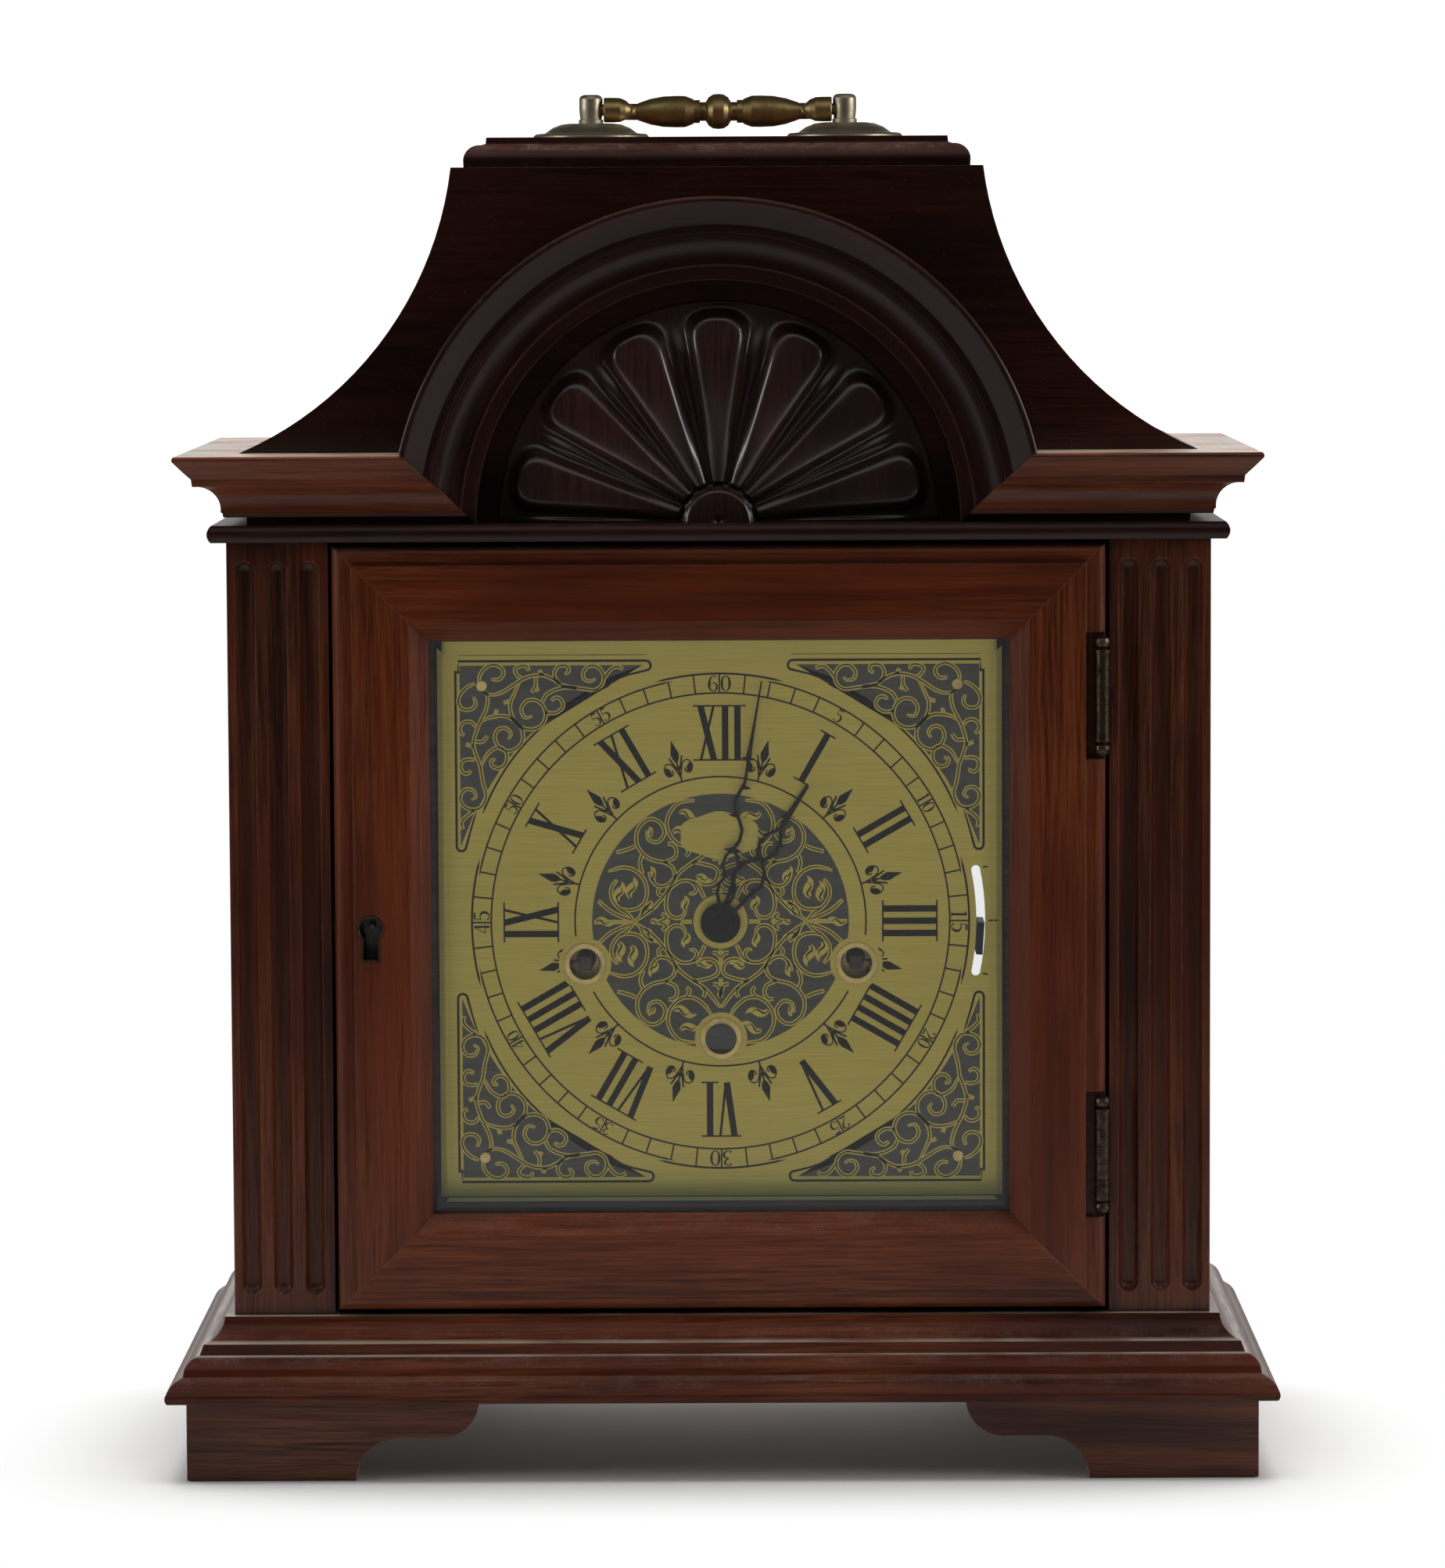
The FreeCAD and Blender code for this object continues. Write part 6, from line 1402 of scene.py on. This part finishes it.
@dataclass
class Studio:
    """The pale floor, the white surround, the soft boxes and the camera."""

    wardrobe: Wardrobe
    floor_half: float = 6.0
    sweep_end: float = 0.30
    behind_glass: float = 0.57
    mirror_dim: float = 0.72
    sweep_blend: float = 0.32
    dim_from_to: tuple[float, float] = (0.7, 1.3)
    dim_levels: tuple[float, float] = (0.16, 0.012)
    glass_start: float = 0.20
    window_level: float = 0.42
    foot_half_x: float = 0.168
    foot_half_y: float = 0.084
    fade: float = 0.075
    camera_place: tuple[float, float, float] = (0.0112457, -2.0582495, 0.3944938)
    yaw: float = -0.0052
    pitch: float = 0.0889
    roll: float = -0.0049
    lens: float = 146.154
    lamps: tuple[Lamp, ...] = (
        Lamp("Left box", (-1.2, -0.45, 0.55), (0.0, 0.0, 0.2), 0.5, 3.0),
        Lamp("Right box", (1.1, -0.35, 0.60), (0.0, 0.0, 0.25), 0.5, 4.0),
        Lamp("Top box", (0.0, 0.10, 1.5), (0.0, -0.1, 0.0), 1.0, 26.0, mirrored=False),
    )

    def floor(self) -> None:
        """A pale floor that keeps the clock's shadow, runs out to white and is dimmer in reflections."""
        mesh = bmesh.new()
        bmesh.ops.create_grid(mesh, x_segments=1, y_segments=1, size=self.floor_half)
        obj = linked("studio_floor", mesh)
        material, g, shader = new_material("Pale floor")
        place = g.place()
        patch = g.noise(place, scale=6.0, detail=3.0)
        colour = g.mix(g.spread(patch, 0.3, 0.7), (0.80, 0.80, 0.79), (0.83, 0.83, 0.82))
        g.feed(shader.inputs["Base Color"], colour)
        shader.inputs["Roughness"].default_value = 0.7
        x, y, _ = g.axes(place)
        aside = g.math("MAXIMUM", g.minus(g.math("ABSOLUTE", x), self.foot_half_x), 0.0)
        ahead = g.math("MAXIMUM", g.minus(g.math("ABSOLUTE", y), self.foot_half_y), 0.0)
        far = g.math("SQRT", g.plus(g.times(aside, aside), g.times(ahead, ahead)))
        seen = g.add("ShaderNodeLightPath")
        past = g.times(seen.outputs["Is Transmission Ray"], g.math("GREATER_THAN", y, 0.0))
        through = g.math("MAXIMUM", seen.outputs["Is Camera Ray"], past)
        white = g.times(through, g.spread(far, 0.0, self.fade))
        before = g.spread(g.times(y, -1.0), self.sweep_end, self.sweep_end + self.sweep_blend)
        # Beyond the sweep, for every ray but the camera's, the floor's own shading gives way to a set glow:
        # painted light, dimmer further out, and brighter for rays seen through glass.
        unlit = g.times(g.minus(1.0, through), before)
        glazed = g.times(seen.outputs["Is Transmission Ray"], g.math("LESS_THAN", y, -self.glass_start))
        unlit = g.math("MAXIMUM", unlit, glazed)
        unlit = g.math("MAXIMUM", unlit, g.times(seen.outputs["Is Glossy Ray"], self.mirror_dim))
        end_level = g.spread(g.times(y, -1.0), *self.dim_from_to, *self.dim_levels)
        end_level = g.math("MAXIMUM", end_level,
                           g.times(seen.outputs["Is Transmission Ray"], self.behind_glass))
        glow = g.add("ShaderNodeEmission", {"Color": (1.0, 1.0, 1.0), "Strength": 1.0}).outputs[0]
        dark = g.add("ShaderNodeEmission", {"Color": (1.0, 1.0, 1.0), "Strength": end_level}).outputs[0]
        near_part = g.add("ShaderNodeMixShader", {0: unlit, 1: shader.outputs[0], 2: dark}).outputs[0]
        mixed = g.add("ShaderNodeMixShader", {0: white, 1: near_part, 2: glow})
        output = next(n for n in material.node_tree.nodes if n.type == "OUTPUT_MATERIAL")
        g.feed(output.inputs["Surface"], mixed.outputs[0])
        obj.data.materials.append(material)

    def surround(self) -> None:
        """White where it's seen, and weaker where it's mirrored, seen through glass or lights the clock."""
        world = bpy.data.worlds.new("Studio surround")
        bpy.context.scene.world = world
        world.use_nodes = True
        world.node_tree.nodes.clear()
        g = Graph(world.node_tree)
        seen = g.add("ShaderNodeLightPath")
        _, facing, height = g.axes(g.add("ShaderNodeTexCoord").outputs["Generated"])
        glazed = g.spread(facing, 0.1, 0.4, self.behind_glass, 1.0)
        window = g.times(g.spread(height, 0.35, 0.60), g.spread(facing, -0.30, -0.55))
        mirrored = g.plus(g.spread(facing, 0.86, 0.99, 0.010, 0.90), g.times(window, self.window_level))
        lit = g.spread(facing, -0.20, 0.40, 0.03, 1.25)
        level = g.mix_value(seen.outputs["Is Glossy Ray"], lit, mirrored)
        level = g.mix_value(seen.outputs["Is Transmission Ray"], level, glazed)
        level = g.math("MAXIMUM", level, seen.outputs["Is Camera Ray"])
        back = g.add("ShaderNodeBackground", {"Color": (1.0, 1.0, 1.0), "Strength": level})
        g.add("ShaderNodeOutputWorld", {"Surface": back.outputs[0]})

    def light(self) -> None:
        """Hangs the soft boxes."""
        for lamp in self.lamps:
            data = bpy.data.lights.new(lamp.name, "AREA")
            data.shape = "SQUARE"
            data.size = lamp.size
            data.energy = lamp.power
            obj = bpy.data.objects.new(lamp.name, data)
            obj.visible_glossy = lamp.mirrored
            obj.location = lamp.place
            way = Vector(lamp.aim) - Vector(lamp.place)
            obj.rotation_euler = way.to_track_quat("-Z", "Y").to_euler()
            bpy.context.scene.collection.objects.link(obj)

    def camera(self) -> None:
        """Stands the camera at the photograph's viewing angle."""
        cy, sy = math.cos(self.yaw), math.sin(self.yaw)
        cp, sp = math.cos(self.pitch), math.sin(self.pitch)
        cr, sr = math.cos(self.roll), math.sin(self.roll)
        base = Matrix(((1, 0, 0), (0, 0, -1), (0, 1, 0)))
        yaw = Matrix(((cy, 0, -sy), (0, 1, 0), (sy, 0, cy)))
        pitch = Matrix(((1, 0, 0), (0, cp, -sp), (0, sp, cp)))
        roll = Matrix(((cr, -sr, 0), (sr, cr, 0), (0, 0, 1)))
        view = roll @ pitch @ yaw @ base
        right, down, ahead = view[0], view[1], view[2]
        data = bpy.data.cameras.new("Camera")
        data.sensor_width = 36.0
        data.lens = self.lens
        data.clip_start, data.clip_end = 0.05, 50.0
        obj = bpy.data.objects.new("Camera", data)
        turn = Matrix((right, -down, -ahead)).transposed().to_4x4()
        obj.matrix_world = Matrix.Translation(self.camera_place) @ turn
        bpy.context.scene.collection.objects.link(obj)
        bpy.context.scene.camera = obj

    def build(self) -> None:
        """Sets up the studio."""
        self.floor()
        self.surround()
        self.light()
        self.camera()
        bpy.context.scene.view_settings.view_transform = "Standard"


def main() -> None:
    """Builds the dressed clock and its studio."""
    logging.basicConfig(level=logging.INFO, format="%(name)s: %(message)s")
    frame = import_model()
    wardrobe = Wardrobe()
    nodes = frame["nodes"]
    CaseWork(wardrobe, nodes).build()
    DoorWork(wardrobe, nodes).build()
    MovementWork(wardrobe, nodes).build()
    ShellCarving(wardrobe).build()
    DialPrinting(wardrobe).build()
    Studio(wardrobe).build()


if __name__ == "__main__":
    main()
